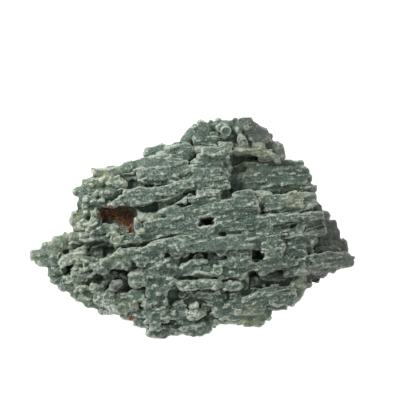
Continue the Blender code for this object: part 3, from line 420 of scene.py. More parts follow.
# Gaps between the fingers: how much deeper they are than the face, then their outline
GAPS = (
    (5, ((-29, 11), (-20, 12.6), (-12, 13.8), (-5, 17), (-1.5, 17.3), (-4, 15.2), (-10, 11.3), (-17, 8.5), (-25, 8))),
    (4, ((-31, 24), (-28, 24), (-23, 21.7), (-18.5, 21.6), (-19, 20.3), (-31, 20.3))),
    (13, ((3.2, 1.2), (3.6, 3), (6.5, 3.6), (8, 4.2), (10, 3.4), (11.3, 2.8), (10.8, 1.7), (8, 1.6), (5.5, 1.9),
        (4, 1))),
    (4, ((-15.2, 6), (-12.5, 6), (-12.5, 5.1), (-15.2, 5.1))),
    (4, ((-27.5, -9.3), (-24, -7), (-20, -6.3), (-15, -4.6), (-9, -3), (-8.5, -3.9), (-19, -7.3), (-27, -10.3))),
    (3, ((12.3, -2.2), (15, -1.9), (17.5, -2.4), (24.5, -1.9), (24.5, -2.9), (18.5, -3.2), (16.5, -4.2),
        (13.5, -3.8))),
    (3, ((-2, -6.2), (4, -4.6), (8, -4.6), (6, -5.9), (1, -6.4))),
    (4, ((-9.5, -15.5), (-4, -15), (-1, -13), (4.5, -12), (7.5, -11.8), (8, -14.5), (-0.5, -15.5), (-6, -19),
        (-8.5, -17.5))),
    (5, ((-8, -25), (-4.5, -24), (0.5, -23.5), (3, -22.3), (9, -23.8), (13, -24.2), (13, -25.2), (0, -25),
        (-6, -25.6))),
    (4, ((-12, -31), (-5, -31), (-1, -30.6), (-1.5, -33.5), (-6.5, -36), (-11, -38.5), (-12, -36))),
    (4, ((4.8, -30.5), (11, -30.3), (11.5, -31.8), (6, -31.8))),
    (5, ((21, -26), (25.5, -26), (28, -27.5), (29, -30.5), (33.5, -30.5), (29.5, -32.8), (25, -34), (23.5, -31.8),
        (16, -32.2), (17, -31.2), (23.8, -30.8), (26, -29), (25.5, -27))),
    (6, ((28, -21.6), (32, -21.8), (33, -24), (28.2, -24.6))),
    (6, ((30, -10.2), (32, -12), (36, -12.5), (35.5, -14), (33.5, -16.5), (30.8, -17), (31, -14.5))),
    (5, ((33.5, 8.2), (37.5, 8), (41, 9.2), (43.5, 7.2), (38, 7), (36.5, 5.8), (34, 6))),
    (5, ((52.8, 7.6), (59.5, 9.6), (63, 11.8), (66.5, 10.8), (66, 8.8), (60, 8.2), (54, 7))),
    (4, ((49, 2.2), (52, 2.1), (50.5, 0.2), (49, 0))),
    (3, ((56, -1.3), (60, -0.8), (62, 0.8), (66, 0.9), (66, 0.2), (61.5, -0.4), (58, -1.8))),
    (2, ((56, 2.4), (60, 3.6), (64, 3.4), (64, 1.5), (61, 0.9), (57, 0.2))),
    (4, ((55.5, -10.2), (57.5, -9.2), (62, -10.4), (60, -11.6), (58, -12.6))),
    (2, ((51, -14.2), (53.5, -14.2), (52.5, -15.2), (51, -15))),
    (2.5, ((56, -17), (59.5, -18.5), (61, -17.6), (58, -16.2))),
    (5, ((56.8, -24), (65.5, -23.7), (66, -25.5), (62, -27), (57.2, -27))),
    (5, ((19.5, 31), (20.5, 36.4), (30, 35.8), (38, 34), (36, 33), (26, 33.6), (22.5, 31.6))),
    (1.5, ((19, 17), (19.5, 30), (24, 34), (27, 30), (25, 24), (24, 17))),
    (4, ((15, 18.6), (20, 19.5), (20, 16), (15.4, 15))), (3, ((27.5, 44), (29, 40), (30, 40), (30, 43))),
    (3, ((1, 41.5), (6, 40.8), (11, 40.4), (11.5, 41.4), (5, 41.8))),
    (3, ((17, 45), (20.5, 44), (20, 42.8), (17, 43.2))),
    (4, ((-66, -13.5), (-64, -11), (-58, -10.2), (-52.5, -7.2), (-44, -6.2), (-43, -7.2), (-50, -9), (-52, -12.5),
        (-53.5, -11), (-60, -12), (-64.5, -13.8), (-67, -17), (-66.5, -15.5))),
    (6, ((-44.3, -9.5), (-38.5, -9.8), (-38.5, -12), (-41, -13.8), (-44, -15), (-44, -12))),
    (5, ((-65, -20), (-60.5, -19.4), (-60.5, -23.8), (-63.8, -23.8))),
    (2, ((-48, -24), (-43, -23), (-39.5, -20), (-32, -21), (-32, -24.5), (-31, -29), (-31.5, -32.3), (-36, -32.2),
        (-39, -30), (-43, -29), (-47, -28))),
    (5, ((-35.5, -31.8), (-31.8, -28.5), (-31.5, -32.5))),
    (2.5, ((-55, -32), (-51, -30.8), (-47, -33.5), (-47.5, -35.6), (-52, -34.5))),
    (3, ((-24, -19.5), (-21.5, -17.3), (-18, -17), (-19.5, -19.3), (-23, -20.3))),
    (4, ((-30, -20), (-28, -18.3), (-25.5, -19.5), (-25, -22), (-29, -21.5))),
    (2, ((-12.5, -12), (-9, -15.5), (-12, -15.2), (-13.8, -14.5))),
    (3, ((-8, -48), (-4.5, -48.5), (-8, -50.5), (-10, -49.5))),
    (3, ((5, -39), (8.5, -38.5), (11, -40), (8, -44), (4.5, -45.5), (7, -43), (7.3, -41))),
    (3, ((-20, -37.9), (-15.5, -38.4), (-15.5, -40), (-20, -39.8))),
    (2, ((14.5, -36), (18, -35), (21, -35.2), (19, -36.2))),
    (3, ((-48.8, 25.7), (-44, 26.2), (-44, 25.2), (-48.5, 24.7))),
    (5, ((-47.4, 14.4), (-46.3, 13.9), (-45.2, 14.6), (-45.5, 15.8), (-46.6, 16.1), (-47.4, 15.4))),
    (4, ((-44.6, 20.3), (-43.7, 19.8), (-42.9, 20.4), (-43.2, 21.5), (-44.2, 21.5))),
    (3, ((-64.4, -26), (-63.2, -26), (-63.2, -27.2), (-64.4, -27.2))),
    (3, ((-58.2, -33.6), (-56.8, -33.8), (-57, -35), (-58, -34.8))),
    (3, ((-52.7, -17.7), (-51.3, -17.7), (-51.3, -19), (-52.7, -19))),
)

# The face's fingers in the groups that are modelled as one piece each: name, fingers, lobes, then how many ribs
# and knobs grow on ten millimetres of finger
FACE_GROUPS = (
    ("crown_fingers", CROWN, CROWN_LOBES, 0.5, 1.0),
    ("block_fingers", UPPER_BLOCK, (), 1.6, 0.2),
    ("upper_left_fingers", UPPER_LEFT + LEFT_LOBE, UPPER_LOBES, 0.9, 0.6),
    ("slab_fingers", RECESSED_SLAB + RIGHT_FLANK, (), 1.3, 0.0),
    ("right_fingers", RIGHT_BAND + RIGHT_TIP, RIGHT_LOBES, 1.4, 0.3),
    ("ridge_fingers", MIDDLE_RIDGE + LONG_FINGERS, MIDDLE_LOBES, 1.2, 0.4),
    ("lower_right_fingers", LOWER_RIGHT, LOWER_RIGHT_LOBES, 0.9, 0.5),
    ("lower_middle_fingers", LOWER_MIDDLE, LOWER_MIDDLE_LOBES, 0.4, 1.1),
    ("lower_left_fingers", LOWER_LEFT, LOWER_LEFT_LOBES, 0.6, 1.0),
)

# Places that bear few small fingers: low x, low y, high x, high y
SMOOTH_AREAS = (
    (20, 16, 62, 35), (64, -14, 82, 18), (34, -32, 49, -22), (-8, -12, 36, -5), (-26, 30, 4, 42), (-2, 40, 46, 56),
    (-82, -22, -62, -4), (-62, 8, -36, 20), (12, -46, 34, -34), (-26, -38, -14, -24),
)

# Tints of the mineral: x, y, reach and strength. Yellow-green and cream where it is thin or stained
WARM_SPOTS = (
    (-58, 3, 8, 0.45), (-44, 27, 8, 0.52), (-48, 22, 7, 0.23), (24, 38.3, 4, 0.45), (32, 38, 4, 0.45),
    (39, 36.4, 4, 0.45), (30, 30, 9, 0.16), (51, 15, 6, 0.59), (30, -46, 7, 0.52), (-58, -13, 7, 0.39),
    (-68, -6, 7, 0.33), (-79, -13, 5, 0.33), (-38, -5, 3.5, 0.59), (-55, -30, 7, 0.26), (-38, -14, 5, 0.33),
    (53, -28, 7, 0.26), (-36, -41, 8, 0.26),
)
# Brownish grey where the druse is thin, partly painted shade where parts lie low in the shade of those above, as on
# the right flank and the low block at the lower right
GREY_AND_SHADED_SPOTS = (
    (79, -3, 19, 1), (71, 9, 11, 1), (64, 18, 4, 0.8), (36, 50, 12, 0.7), (44, 38, 7, 0.6), (64, -26, 9, 1),
    (-38, -26, 8, 0.6), (42, -25, 9, 0.5), (-45, -11, 6, 0.5), (24, 30, 8, 0.4),
)
# Places with little crust, where the dark mineral shows. On the recessed slab and the strip beside the block it is
# painted shadow, the shade that the block and the crown cast there, drawn as missing crust
BARE_AND_SHADED_SPOTS = (
    (42, 26, 20, 0.8), (23, 25, 8, 1), (-19, -33, 9, 0.7), (-42, -26, 9, 0.9), (-47, -10, 6, 0.8), (42, -27, 10, 0.8),
    (16, -7, 9, 0.45), (-4, -16, 8, 0.7), (-6, -34, 7, 0.7), (30, 44, 9, 0.7), (58, -12, 7, 0.6), (44, 1, 6, 0.6),
    (22, -38, 9, 0.4), (-20, 5, 7, 0.4),
)
# White crystal patches
WHITE_SPOTS = (
    (-42, -40, 4, 1), (-30, -44, 3, 0.6), (-51, 28, 2.5, 0.8), (0, -41, 4, 0.6), (-17, 26, 5, 0.15),
    (-60, -19, 4, 0.4),
)
# Rust in the hollow at the left, and two flecks
RUST_PATCH = (
    (-47, 7.6), (-44, 9.6), (-40, 10.4), (-36, 9.2), (-31, 8.8), (-29.4, 5.5), (-29.2, 1), (-30.4, -2.2), (-33, -0.4),
    (-36, 2.6), (-40, 3.8), (-45.5, 5),
)
RUST_FLECKS = ((-30.5, -44.6, 1.5), (57.2, -6.8, 0.9), (21.5, 42.8, 1.2))


def length_property(label, told, value):
    """A length of the panel, in metres."""
    return bpy.props.FloatProperty(name=label, description=told, default=value, unit="LENGTH", precision=5)


def colour_property(label, told, code):
    """A colour of the panel, as sRGB hex."""
    return bpy.props.StringProperty(name=label, description=told, default=code)


class CLUSTER_PG_sizes(bpy.types.PropertyGroup):
    """Sizes of the fingers and of the crust on them, and how many small ones there are."""

    finger_swell: bpy.props.FloatProperty(
        name="Finger swell", description="Thickness of the fingers, as a share of the table's", default=FACE_SWELL,
        min=0.8, max=1.3, subtype="FACTOR",
    )
    face_grain: length_property("Face grain", "Size of the smallest form of the face", 0.00043)
    side_grain: length_property("Side grain", "Size of the smallest form of the sides", 0.00062)
    groove_fill: length_property("Groove fill", "Half the width of the grooves that the mineral has filled", 0.00022)
    lump_size: length_property("Lump size", "Width of the rounded lumps of the crust", 0.0018)
    lump_height: length_property("Lump height", "Height of the rounded lumps of the crust", 0.00036)
    grit_height: length_property("Grit height", "Height of the grit on the lumps", 0.00032)
    small_count: bpy.props.IntProperty(
        name="Small fingers", description="Number of small fingers grown over the large ones", default=1050, min=0,
        max=1400,
    )
    crystal_count: bpy.props.IntProperty(
        name="Crystals", description="Number of small crystals on the fingers", default=9000, min=0, max=16000,
    )
    crystal_size: length_property("Crystal size", "Length of a small crystal", 0.0006)


class CLUSTER_PG_colours(bpy.types.PropertyGroup):
    """Colours of the mineral, its crust, its rust and the stage, as sRGB hex."""

    body_dark: colour_property("Body, dark", "Deep grey-green of the thick mineral", "253b32")
    body_light: colour_property("Body, light", "Lighter grey-green of the mineral", "3d5648")
    frost: colour_property("Frost", "Pale green of the fine crust", "849787")
    # Cream of the painted rim light on thin edges, crests and finger ends; the druse crystals take it as their paler
    # tone too
    cream_rim_light: colour_property("Rim", "Cream of thin edges and finger ends", "c0c8b6")
    white: colour_property("White", "White of clean crystal patches", "dfe3dc")
    warm: colour_property("Yellow-green", "Yellow-green stain", "9a9c72")
    # Also painted shade: this grey darkens the low flanks that lie in the shade of the layers above
    grey: colour_property("Brown-grey", "Brownish grey of the bare fingers", "4b4a44")
    # Painted shade: the dark green put in hollows and deep between the fingers
    gap: colour_property("Gap", "Dirt deep between the fingers", "33473b")
    rust: colour_property("Rust", "Iron stain", "70482a")
    rust_dark: colour_property("Rust, dark", "Dark iron crust", "33241a")
    floor: colour_property("Floor", "White of the light table", "fbfbfa")


def crest(x, y):
    """Height of the face above the table at a place, before its pits."""
    reach = math.hypot(x / (HALF_LENGTH + CREST_MARGIN), y / (HALF_WIDTH + CREST_MARGIN))
    swell = SWELL_HEIGHT * math.sin(x / SWELL_LENGTH[0] + 1.1) * math.cos(y / SWELL_LENGTH[1] + 0.4)
    return RIM_HEIGHT + (CREST_HEIGHT - RIM_HEIGHT) * (1 - min(reach, 1.0) ** CREST_FALL) + swell


def pit_depth(x, y):
    """How far the face is stepped down at a place."""
    return max((depth for x0, y0, x1, y1, depth in PITS if x0 <= x <= x1 and y0 <= y <= y1), default=0.0)


def face_height(x, y):
    """Height of the face above the table, pits included."""
    return crest(x, y) - pit_depth(x, y)


def outline_span(y):
    """The lowest and highest x of the outline at one y, or None outside it."""
    crossings = []
    for (x0, y0), (x1, y1) in zip(OUTLINE, OUTLINE[1:] + OUTLINE[:1]):
        if (y0 <= y) != (y1 <= y):
            crossings.append(x0 + (x1 - x0) * (y - y0) / (y1 - y0))
    return (min(crossings), max(crossings)) if crossings else None


def outline_reach(angle):
    """How far the outline reaches from the centre in one direction."""
    way = Vector((math.cos(angle), math.sin(angle)))
    reach = 0.0
    for first, second in zip(OUTLINE, OUTLINE[1:] + OUTLINE[:1]):
        a, b = Vector(first), Vector(second)
        side = b - a
        cross = way.x * side.y - way.y * side.x
        if abs(cross) < 1e-9:
            continue
        share = (a.y * way.x - a.x * way.y) / -cross
        if 0 <= share <= 1:
            reach = max(reach, (a + side * share).dot(way))
    return reach


def side_scale(x, y, z):
    """The body's outline at one height, as a share of the face's: it pulls in unevenly towards the back."""
    angle = math.atan2(y, x)
    base = BASE_SCALE + BASE_WANDER * (math.sin(2 * angle + 0.8) + 0.6 * math.sin(5 * angle))
    return base + (1 - base) * math.sin(math.pi / 2 * min(1.0, max(z, 0.0) / BELLY_HEIGHT))


def inside(x, y, scale, inset):
    """Whether a place lies inside the scaled outline, at least inset away from its edge along x and along y."""
    for row in (y - inset, y, y + inset):
        span = outline_span(row / scale)
        if not span or not span[0] * scale + inset <= x <= span[1] * scale - inset:
            return False
    return True


def side_kind(x, y, z):
    """Whether a finger of a fixed layer has room at a place: inside the body and under the face."""
    room = inside(x, y, side_scale(x, y, z), SIDE_INSET) and z + FILL_COVER <= face_height(x, y)
    return 0 if room else None


def under_kind(x, y):
    """The step of the face over a place, for the layer just under it, or None too near the edge."""
    return pit_depth(x, y) if inside(x, y, 1.0, UNDER_INSET) else None


def buried(point):
    """Whether a point lies so deep in the mass that nothing there shows."""
    deep = inside(point.x, point.y, side_scale(point.x, point.y, point.z), MASS_INSET + MASS_DEEP[0])
    return deep and point.z < face_height(point.x, point.y) - MASS_COVER - MASS_DEEP[1]


def row_runs(y_row, kind_at):
    """Stretches along a row where kind_at gives one and the same value."""
    runs, start, kind, x = [], None, None, -HALF_LENGTH
    while x <= HALF_LENGTH + FILL_SAMPLE:
        here = kind_at(x, y_row + FILL_SLOPE * x)
        if here != kind:
            if kind is not None:
                runs.append((start, x - FILL_SAMPLE))
            start, kind = x, here
        x += FILL_SAMPLE
    return runs


def laid_fingers(dice, row_step, row_offset, radii, kind_at, height_at):
    """Paths of one layer of fingers: rows along X, each filled with fingers end to end."""
    paths = []
    rows = int(2 * HALF_WIDTH / row_step) + 3
    for row in range(rows):
        y_row = (row - rows / 2 + row_offset) * row_step
        for low, high in row_runs(y_row, kind_at):
            x = low
            while high - x > 2 * radii[1]:
                length = dice.uniform(*FILL_LENGTH)
                end = high if high - x - length < FILL_LENGTH[0] / 2 else x + length
                y_shift, z_shift, z_end = (dice.uniform(-FILL_SHIFT, FILL_SHIFT) for _ in range(3))
                y0, y1 = y_row + FILL_SLOPE * x + y_shift, y_row + FILL_SLOPE * end + y_shift
                z = height_at((x + end) / 2, (y0 + y1) / 2)
                start_point, end_point = Vector((x, y0, z + z_shift)), Vector((end, y1, z + z_end))
                if not all(buried(start_point.lerp(end_point, share)) for share in (0, 0.5, 1)):
                    paths.append(([start_point, end_point], dice.uniform(*radii)))
                x = end
    return paths


def under_fingers(dice):
    """Paths of the layer just under the face, which shows in the gaps."""
    return laid_fingers(
        dice, UNDER_ROW_STEP, 0.0, UNDER_RADIUS, under_kind, lambda x, y: face_height(x, y) - UNDER_DEPTH
    )


def side_fingers(dice):
    """Paths of the fingers that make the sides."""
    paths = []
    for level, z in enumerate(FILL_LEVELS):
        paths += laid_fingers(
            dice, FILL_ROW_STEP, 0.5 * (level % 2), FILL_RADIUS, lambda x, y: side_kind(x, y, z), lambda x, y: z
        )
    return paths


def face_path(row):
    """The two ends and the radius of one finger or lobe of the face."""
    x0, y0, x1, y1, radius, lift = row
    level = face_height((x0 + x1) / 2, (y0 + y1) / 2) - radius + lift * FACE_RELIEF
    tilt = (crest(x1, y1) - crest(x0, y0)) / 2
    return [Vector((x0, y0, level - tilt)), Vector((x1, y1, level + tilt))], radius


def drawn_path(row, swell, dice):
    """The path of one finger of the face, its ends drawn out unevenly where there is room."""
    points, radius = face_path(row)
    along = (points[1] - points[0]).normalized()
    for i, way in enumerate((-1, 1)):
        drawn = points[i] + way * along * dice.uniform(0.0, END_DRAW)
        if inside(drawn.x, drawn.y, 1.0, radius):
            points[i] = drawn
    return points, radius * swell


def small_runs(ground, count, dice):
    """Runs of small fingers laid on the ground's height: long ones along the large, lobes where the face has them."""
    runs = []
    while len(runs) < count:
        x, y = dice.uniform(-HALF_LENGTH, HALF_LENGTH), dice.uniform(-HALF_WIDTH, HALF_WIDTH)
        smooth = any(x0 <= x <= x1 and y0 <= y <= y1 for x0, y0, x1, y1 in SMOOTH_AREAS)
        lobed = y < LOBED_Y and x < LOBED_X or x < -LOBED_X
        radius = dice.uniform(*SMALL_RADIUS[lobed])
        reach = radius * dice.uniform(*SMALL_LENGTH[lobed]) / 2
        turn = dice.gauss(SMALL_TURN, SMALL_SPREAD[lobed])
        way = Vector((math.cos(turn), math.sin(turn), 0))
        if smooth and dice.random() < SMOOTH_LOSS or not inside(x, y, 1.0, 1.0 + min(reach, 2.5)):
            continue
        points = [Vector((x, y, 0)) + way * reach * share for share in SMALL_SHARES]
        heights = [float(ground.at(np.array([p.x * MM]), np.array([p.y * MM]))[0]) / MM for p in points]
        if max(heights) - min(heights) > SMALL_STEP[lobed]:
            continue
        level = sorted(heights)[len(heights) // 2]
        for point, height in zip(points, heights):
            point.z = SMALL_BED[0] * level + SMALL_BED[1] * height - SMALL_BED[2] * radius
        runs.append(stations(points, radius, dice))
    return runs


def smooth_line(points, step=0.8):
    """Points about a step apart on a smooth line through the given ones."""
    chain = [points[0], *points, points[-1]]
    line = []
    for a, b, c, d in zip(chain, chain[1:], chain[2:], chain[3:]):
        count = max(1, round((c - b).length / step))
        square, cube = 2 * a - 5 * b + 4 * c - d, 3 * b - a - 3 * c + d
        for i in range(count):
            t = i / count
            line.append(0.5 * (2 * b + (c - a) * t + square * t**2 + cube * t**3))
    line.append(points[-1])
    return line


def stations(points, radius, dice):
    """Points and radii along one finger: blunt or rounded ends, and a wavering run between them."""
    line = smooth_line(points)
    lengths = [0.0]
    for a, b in zip(line, line[1:]):
        lengths.append(lengths[-1] + (b - a).length)
    total = lengths[-1]
    tip, bluntness = dice.choice(END_FORMS)
    end = min(tip * radius, 0.4 * total)
    near = [share * end for share in END_STATIONS]
    inner = max(1, round((total - 2 * end) / STATION_STEP))
    middle = [end + (total - 2 * end) * i / inner for i in range(1, inner)]
    marks = near + middle + [total - mark for mark in reversed(near)]
    phases = [dice.uniform(0, 2 * math.pi) for _ in range(6)]
    found = []
    for mark in marks:
        at = min(len(line) - 2, int(np.searchsorted(lengths, mark, side="right")) - 1)
        share = (mark - lengths[at]) / max(1e-6, lengths[at + 1] - lengths[at])
        point = line[at].lerp(line[at + 1], share)
        # A slow and a quick wave sideways and up, of half a millimetre at most, and one in thickness
        point.y += 0.34 * math.sin(mark / 2.3 + phases[0]) + 0.12 * math.sin(mark / 0.9 + phases[1])
        point.z += 0.34 * math.sin(mark / 2.9 + phases[2]) + 0.10 * math.sin(mark / 1.1 + phases[3])
        from_end = min(1.0, min(mark, total - mark) / end)
        rounding = bluntness + (1 - bluntness) * math.sqrt(max(0.0, 1 - (1 - from_end) ** 2))
        wave = 1 + 0.05 * math.sin(mark / 1.9 + phases[4]) + 0.035 * math.sin(mark / 0.8 + phases[5])
        found.append((point, radius * rounding * wave))
    return found


def lobe(points, radius, dice):
    """Points and radii along a lobe: a finger with round ends past its two points, a little uneven."""
    along = (points[1] - points[0]).normalized()
    phase = dice.uniform(0, 2 * math.pi)
    found = []
    for end, way, shares in ((points[0], -1, LOBE_STATIONS), (points[1], 1, reversed(LOBE_STATIONS))):
        for share in shares:
            found.append((end + way * along * radius * share, radius * math.sqrt(max(0.02, 1 - share**2))))
    return [(point, size * (1 + 0.06 * math.sin(1.7 * i + phase))) for i, (point, size) in enumerate(found)]


def ribs(points, radius, count, dice):
    """Thin fingers that grew along a finger's upper side."""
    found = []
    for _ in range(count):
        turn = dice.uniform(-RIB_TURN, RIB_TURN)
        size = dice.uniform(*RIB_SIZE) * radius
        out = Vector((0, math.sin(turn), math.cos(turn))) * (radius - RIB_SET * size)
        low = dice.uniform(*RIB_START)
        high = min(1.0, low + dice.uniform(*RIB_RUN))
        start, stop = (points[0].lerp(points[-1], share) + out for share in (low, high))
        stop.y += dice.uniform(-RIB_STRAY, RIB_STRAY)
        if (stop - start).length > 4 * size:
            found.append(stations([start, stop], size, dice))
    return found


def knobs(points, radius, count, turns, dice):
    """Small rounded knobs on a finger, turned this far from straight up to one side or the other."""
    found = []
    for _ in range(count):
        at = points[0].lerp(points[-1], dice.uniform(0.02, 0.98))
        turn = dice.choice((-1, 1)) * dice.uniform(*turns)
        size = dice.uniform(*KNOB_SIZE) * radius
        out = Vector((dice.uniform(-0.3, 0.3), math.sin(turn), math.cos(turn))).normalized()
        middle = at + out * (radius - KNOB_SET * size)
        reach = size * dice.uniform(*KNOB_REACH)
        found.append([(middle + Vector((reach * along, 0, 0)), size * share) for along, share in KNOB_FORM])
    return found


def choose_nothing():
    """Deselects every object, so that a new primitive stands alone."""
    bpy.ops.object.select_all(action="DESELECT")


def choose(*objects):
    """Selects these objects and nothing else, the first one active."""
    choose_nothing()
    for obj in objects:
        obj.select_set(True)
    bpy.context.view_layer.objects.active = objects[0]


def apply_modifier(obj, kind, **settings):
    """Adds a modifier with its settings and applies it."""
    choose(obj)
    bpy.ops.object.modifier_add(type=kind)
    modifier = obj.modifiers[-1]
    for name, value in settings.items():
        setattr(modifier, name, value)
    bpy.ops.object.modifier_apply(modifier=modifier.name)


def tubes(name, runs, dice):
    """Rounded tubes along the runs of points and radii, as one mesh with closed ends."""
    curve = bpy.data.curves.new(name, "CURVE")
    curve.dimensions = "3D"
    curve.bevel_depth = MM
    curve.bevel_resolution = 4
    curve.use_fill_caps = True
    for run in runs:
        spline = curve.splines.new("POLY")
        spline.points.add(len(run) - 1)
        turn = dice.uniform(0, math.pi)
        for station, (point, radius) in zip(spline.points, run):
            station.co = (*(point * MM), 1)
            station.radius = radius
            station.tilt = turn
    obj = bpy.data.objects.new(name, curve)
    bpy.context.scene.collection.objects.link(obj)
    choose(obj)
    bpy.ops.object.convert(target="MESH")
    obj = bpy.context.view_layer.objects.active
    bpy.ops.object.mode_set(mode="EDIT")
    bpy.ops.mesh.select_all(action="SELECT")
    bpy.ops.mesh.remove_doubles(threshold=1e-6)
    bpy.ops.object.mode_set(mode="OBJECT")
    return obj


def finger_runs(paths, rib_rate, knob_rate, dice):
    """Runs of stations for fingers, their ribs and their knobs, at so many on ten millimetres."""
    runs = []
    for points, radius in paths:
        runs.append(stations(points, radius, dice))
        if len(points) == 2:
            length = (points[1] - points[0]).length / 10
            runs += ribs(points, radius, round(length * rib_rate + dice.uniform(-0.4, 0.6)), dice)
            runs += knobs(points, radius, round(length * knob_rate + dice.uniform(-0.4, 0.6)), UPPER_TURNS, dice)
            runs += knobs(points, radius, round(length * EDGE_KNOBS), EDGE_TURNS, dice)
    return runs


def stub(row, swell):
    """A short finger that points out of the face: a cylinder whose end has a raised ring round a hollow."""
    x, y, radius, lift, lean_x, lean_y = row
    top = Vector((x, y, face_height(x, y) + lift))
    root = Vector((x - 2 * lean_x, y - 2 * lean_y, top.z - STUB_DEPTH))
    axis = (top - root).normalized()
    choose_nothing()
    bpy.ops.mesh.primitive_cylinder_add(
        vertices=20, radius=radius * swell * MM, depth=STUB_DEPTH * MM, location=(top - axis * STUB_DEPTH / 2) * MM,
        rotation=axis.to_track_quat("Z", "Y").to_euler(),
    )
    obj = bpy.context.view_layer.objects.active
    bpy.ops.object.transform_apply(location=True, rotation=True, scale=True)
    bpy.ops.object.mode_set(mode="EDIT")
    bpy.ops.mesh.select_all(action="DESELECT")
    bpy.ops.object.mode_set(mode="OBJECT")
    cap = max(obj.data.polygons, key=lambda face: face.center.dot(axis))
    cap.select = True
    bpy.ops.object.mode_set(mode="EDIT")
    bpy.ops.mesh.inset(thickness=0.22 * radius * MM, depth=0)
    bpy.ops.mesh.inset(thickness=0.14 * radius * MM, depth=-0.22 * radius * MM)
    bpy.ops.object.mode_set(mode="OBJECT")
    return obj


def joined(first, others):
    """The objects joined into the first one."""
    choose(first, *others)
    bpy.ops.object.join()
    return first


def mass(name):
    """The rounded mass inside: a sphere drawn out to the outline, kept under the face and its pits."""
    choose_nothing()
    bpy.ops.mesh.primitive_uv_sphere_add(segments=160, ring_count=70, radius=1.0)
    obj = bpy.context.view_layer.objects.active
    obj.name = name
    around = ((0, 0), (1, 0), (-1, 0), (0, 1), (0, -1), (1, 1), (-1, -1), (1, -1), (-1, 1))
    for vert in obj.data.vertices:
        angle = math.atan2(vert.co.y, vert.co.x)
        share = math.hypot(vert.co.x, vert.co.y) ** MASS_ROUNDING[0]
        height = max(0.0, vert.co.z) * CREST_HEIGHT
        edge = side_scale(math.cos(angle), math.sin(angle), height)
        reach = (outline_reach(angle) * edge - MASS_INSET) * share
        x, y = reach * math.cos(angle), reach * math.sin(angle)
        top = min(face_height(x + MASS_REACH * i, y + MASS_REACH * j) for i, j in around) - MASS_COVER
        z = top * vert.co.z ** MASS_ROUNDING[1] if vert.co.z > 0 else MASS_BELLY * vert.co.z
        vert.co = Vector((x, y, z)) * MM
    return obj


def cloud_texture(name, width):
    """A solid pattern of clouds for relief, about so wide."""
    texture = bpy.data.textures.get(name) or bpy.data.textures.new(name, "CLOUDS")
    texture.noise_scale = width
    return texture


def grow(obj, grain, sizes):
    """Grows the forms of a piece together, fills the narrow grooves between them, and roughens them."""
    apply_modifier(obj, "REMESH", mode="VOXEL", voxel_size=grain)
    apply_modifier(obj, "DISPLACE", strength=sizes.groove_fill, mid_level=0.0)
    apply_modifier(obj, "REMESH", mode="VOXEL", voxel_size=grain)
    drop_pockets(obj)
    apply_modifier(obj, "DISPLACE", strength=-sizes.groove_fill, mid_level=0.0)
    apply_modifier(obj, "SMOOTH", factor=0.5, iterations=3)
    open_gaps(obj)
    for name, width, height in (
        ("swells", *SWELLS),
        ("lumps", sizes.lump_size, sizes.lump_height),
        ("grit", GRIT_WIDTH, sizes.grit_height),
    ):
        clouds = cloud_texture(name, width)
        apply_modifier(obj, "DISPLACE", texture=clouds, texture_coords="LOCAL", strength=height, mid_level=0.5)
    keep_in_box(obj)
    obj.data.shade_smooth()


def open_gaps(obj):
    """Presses the face down where the outlines of its gaps are, with steep walls."""
    points = arrays(obj.data)[0].astype(np.float64)
    x, y = points[:, 0] / MM, points[:, 1] / MM
    fall = np.zeros(len(points))
    for depth, outline in GAPS:
        inner = sum(in_patch(x + dx, y + dy, outline) for dx, dy in GAP_STEPS) / len(GAP_STEPS)
        fall = np.maximum(fall, GAP_SHARE * depth * np.clip(1.5 * inner - 0.25, 0, 1))
    over = np.clip((points[:, 2] / MM - GAP_FLOOR) / GAP_FLOOR, 0, 1)
    points[:, 2] -= fall * over * MM
    move(obj, points)


def values(items, name, width, kind=np.float32):
    """One property of a mesh's points, edges or faces as an array, so many numbers for each."""
    found = np.empty(len(items) * width, kind)
    items.foreach_get(name, found)
    return found.reshape(-1, width)


def arrays(mesh):
    """A mesh's points, edges and normals as arrays."""
    edges = values(mesh.edges, "vertices", 2, np.int32)
    return values(mesh.vertices, "co", 3), edges, values(mesh.vertices, "normal", 3)


def move(obj, points):
    """Moves a piece's points to new places."""
    obj.data.vertices.foreach_set("co", points.astype(np.float32).ravel())
    obj.data.update()


def keep_in_box(obj):
    """Holds every point within the solid's box, which also lays the back flat on the table."""
    move(obj, np.clip(arrays(obj.data)[0], np.array(CAD_LOW), np.array(CAD_HIGH)))


def shell_numbers(count, edges):
    """Numbers the connected shells: each point gets the number of the lowest point in its shell."""
    label = np.arange(count)
    while True:
        low = np.minimum(label[edges[:, 0]], label[edges[:, 1]])
        new = label.copy()
        np.minimum.at(new, edges[:, 0], low)
        np.minimum.at(new, edges[:, 1], low)
        new = new[new]
        new = new[new]
        if (new == label).all():
            return label
        label = new


def drop_pockets(obj):
    """Removes the walls of pockets that are sealed inside a piece, and specks smaller than a grain."""
    mesh = obj.data
    points, edges, _ = arrays(mesh)
    label = shell_numbers(len(points), edges)
    mesh.calc_loop_triangles()
    corners = values(mesh.loop_triangles, "vertices", 3, np.int32)
    a, b, c = (points[corners[:, i]].astype(np.float64) for i in range(3))
    volume = np.bincount(label[corners[:, 0]], np.einsum("ij,ij->i", a, np.cross(b, c)) / 6, len(points))
    bad = volume[label] < LEAST_SHELL
    if bad.any():
        mesh.vertices.foreach_set("select", bad)
        choose(obj)
        bpy.ops.object.mode_set(mode="EDIT")
        bpy.ops.mesh.select_mode(type="VERT")
        bpy.ops.mesh.delete(type="VERT")
        bpy.ops.object.mode_set(mode="OBJECT")


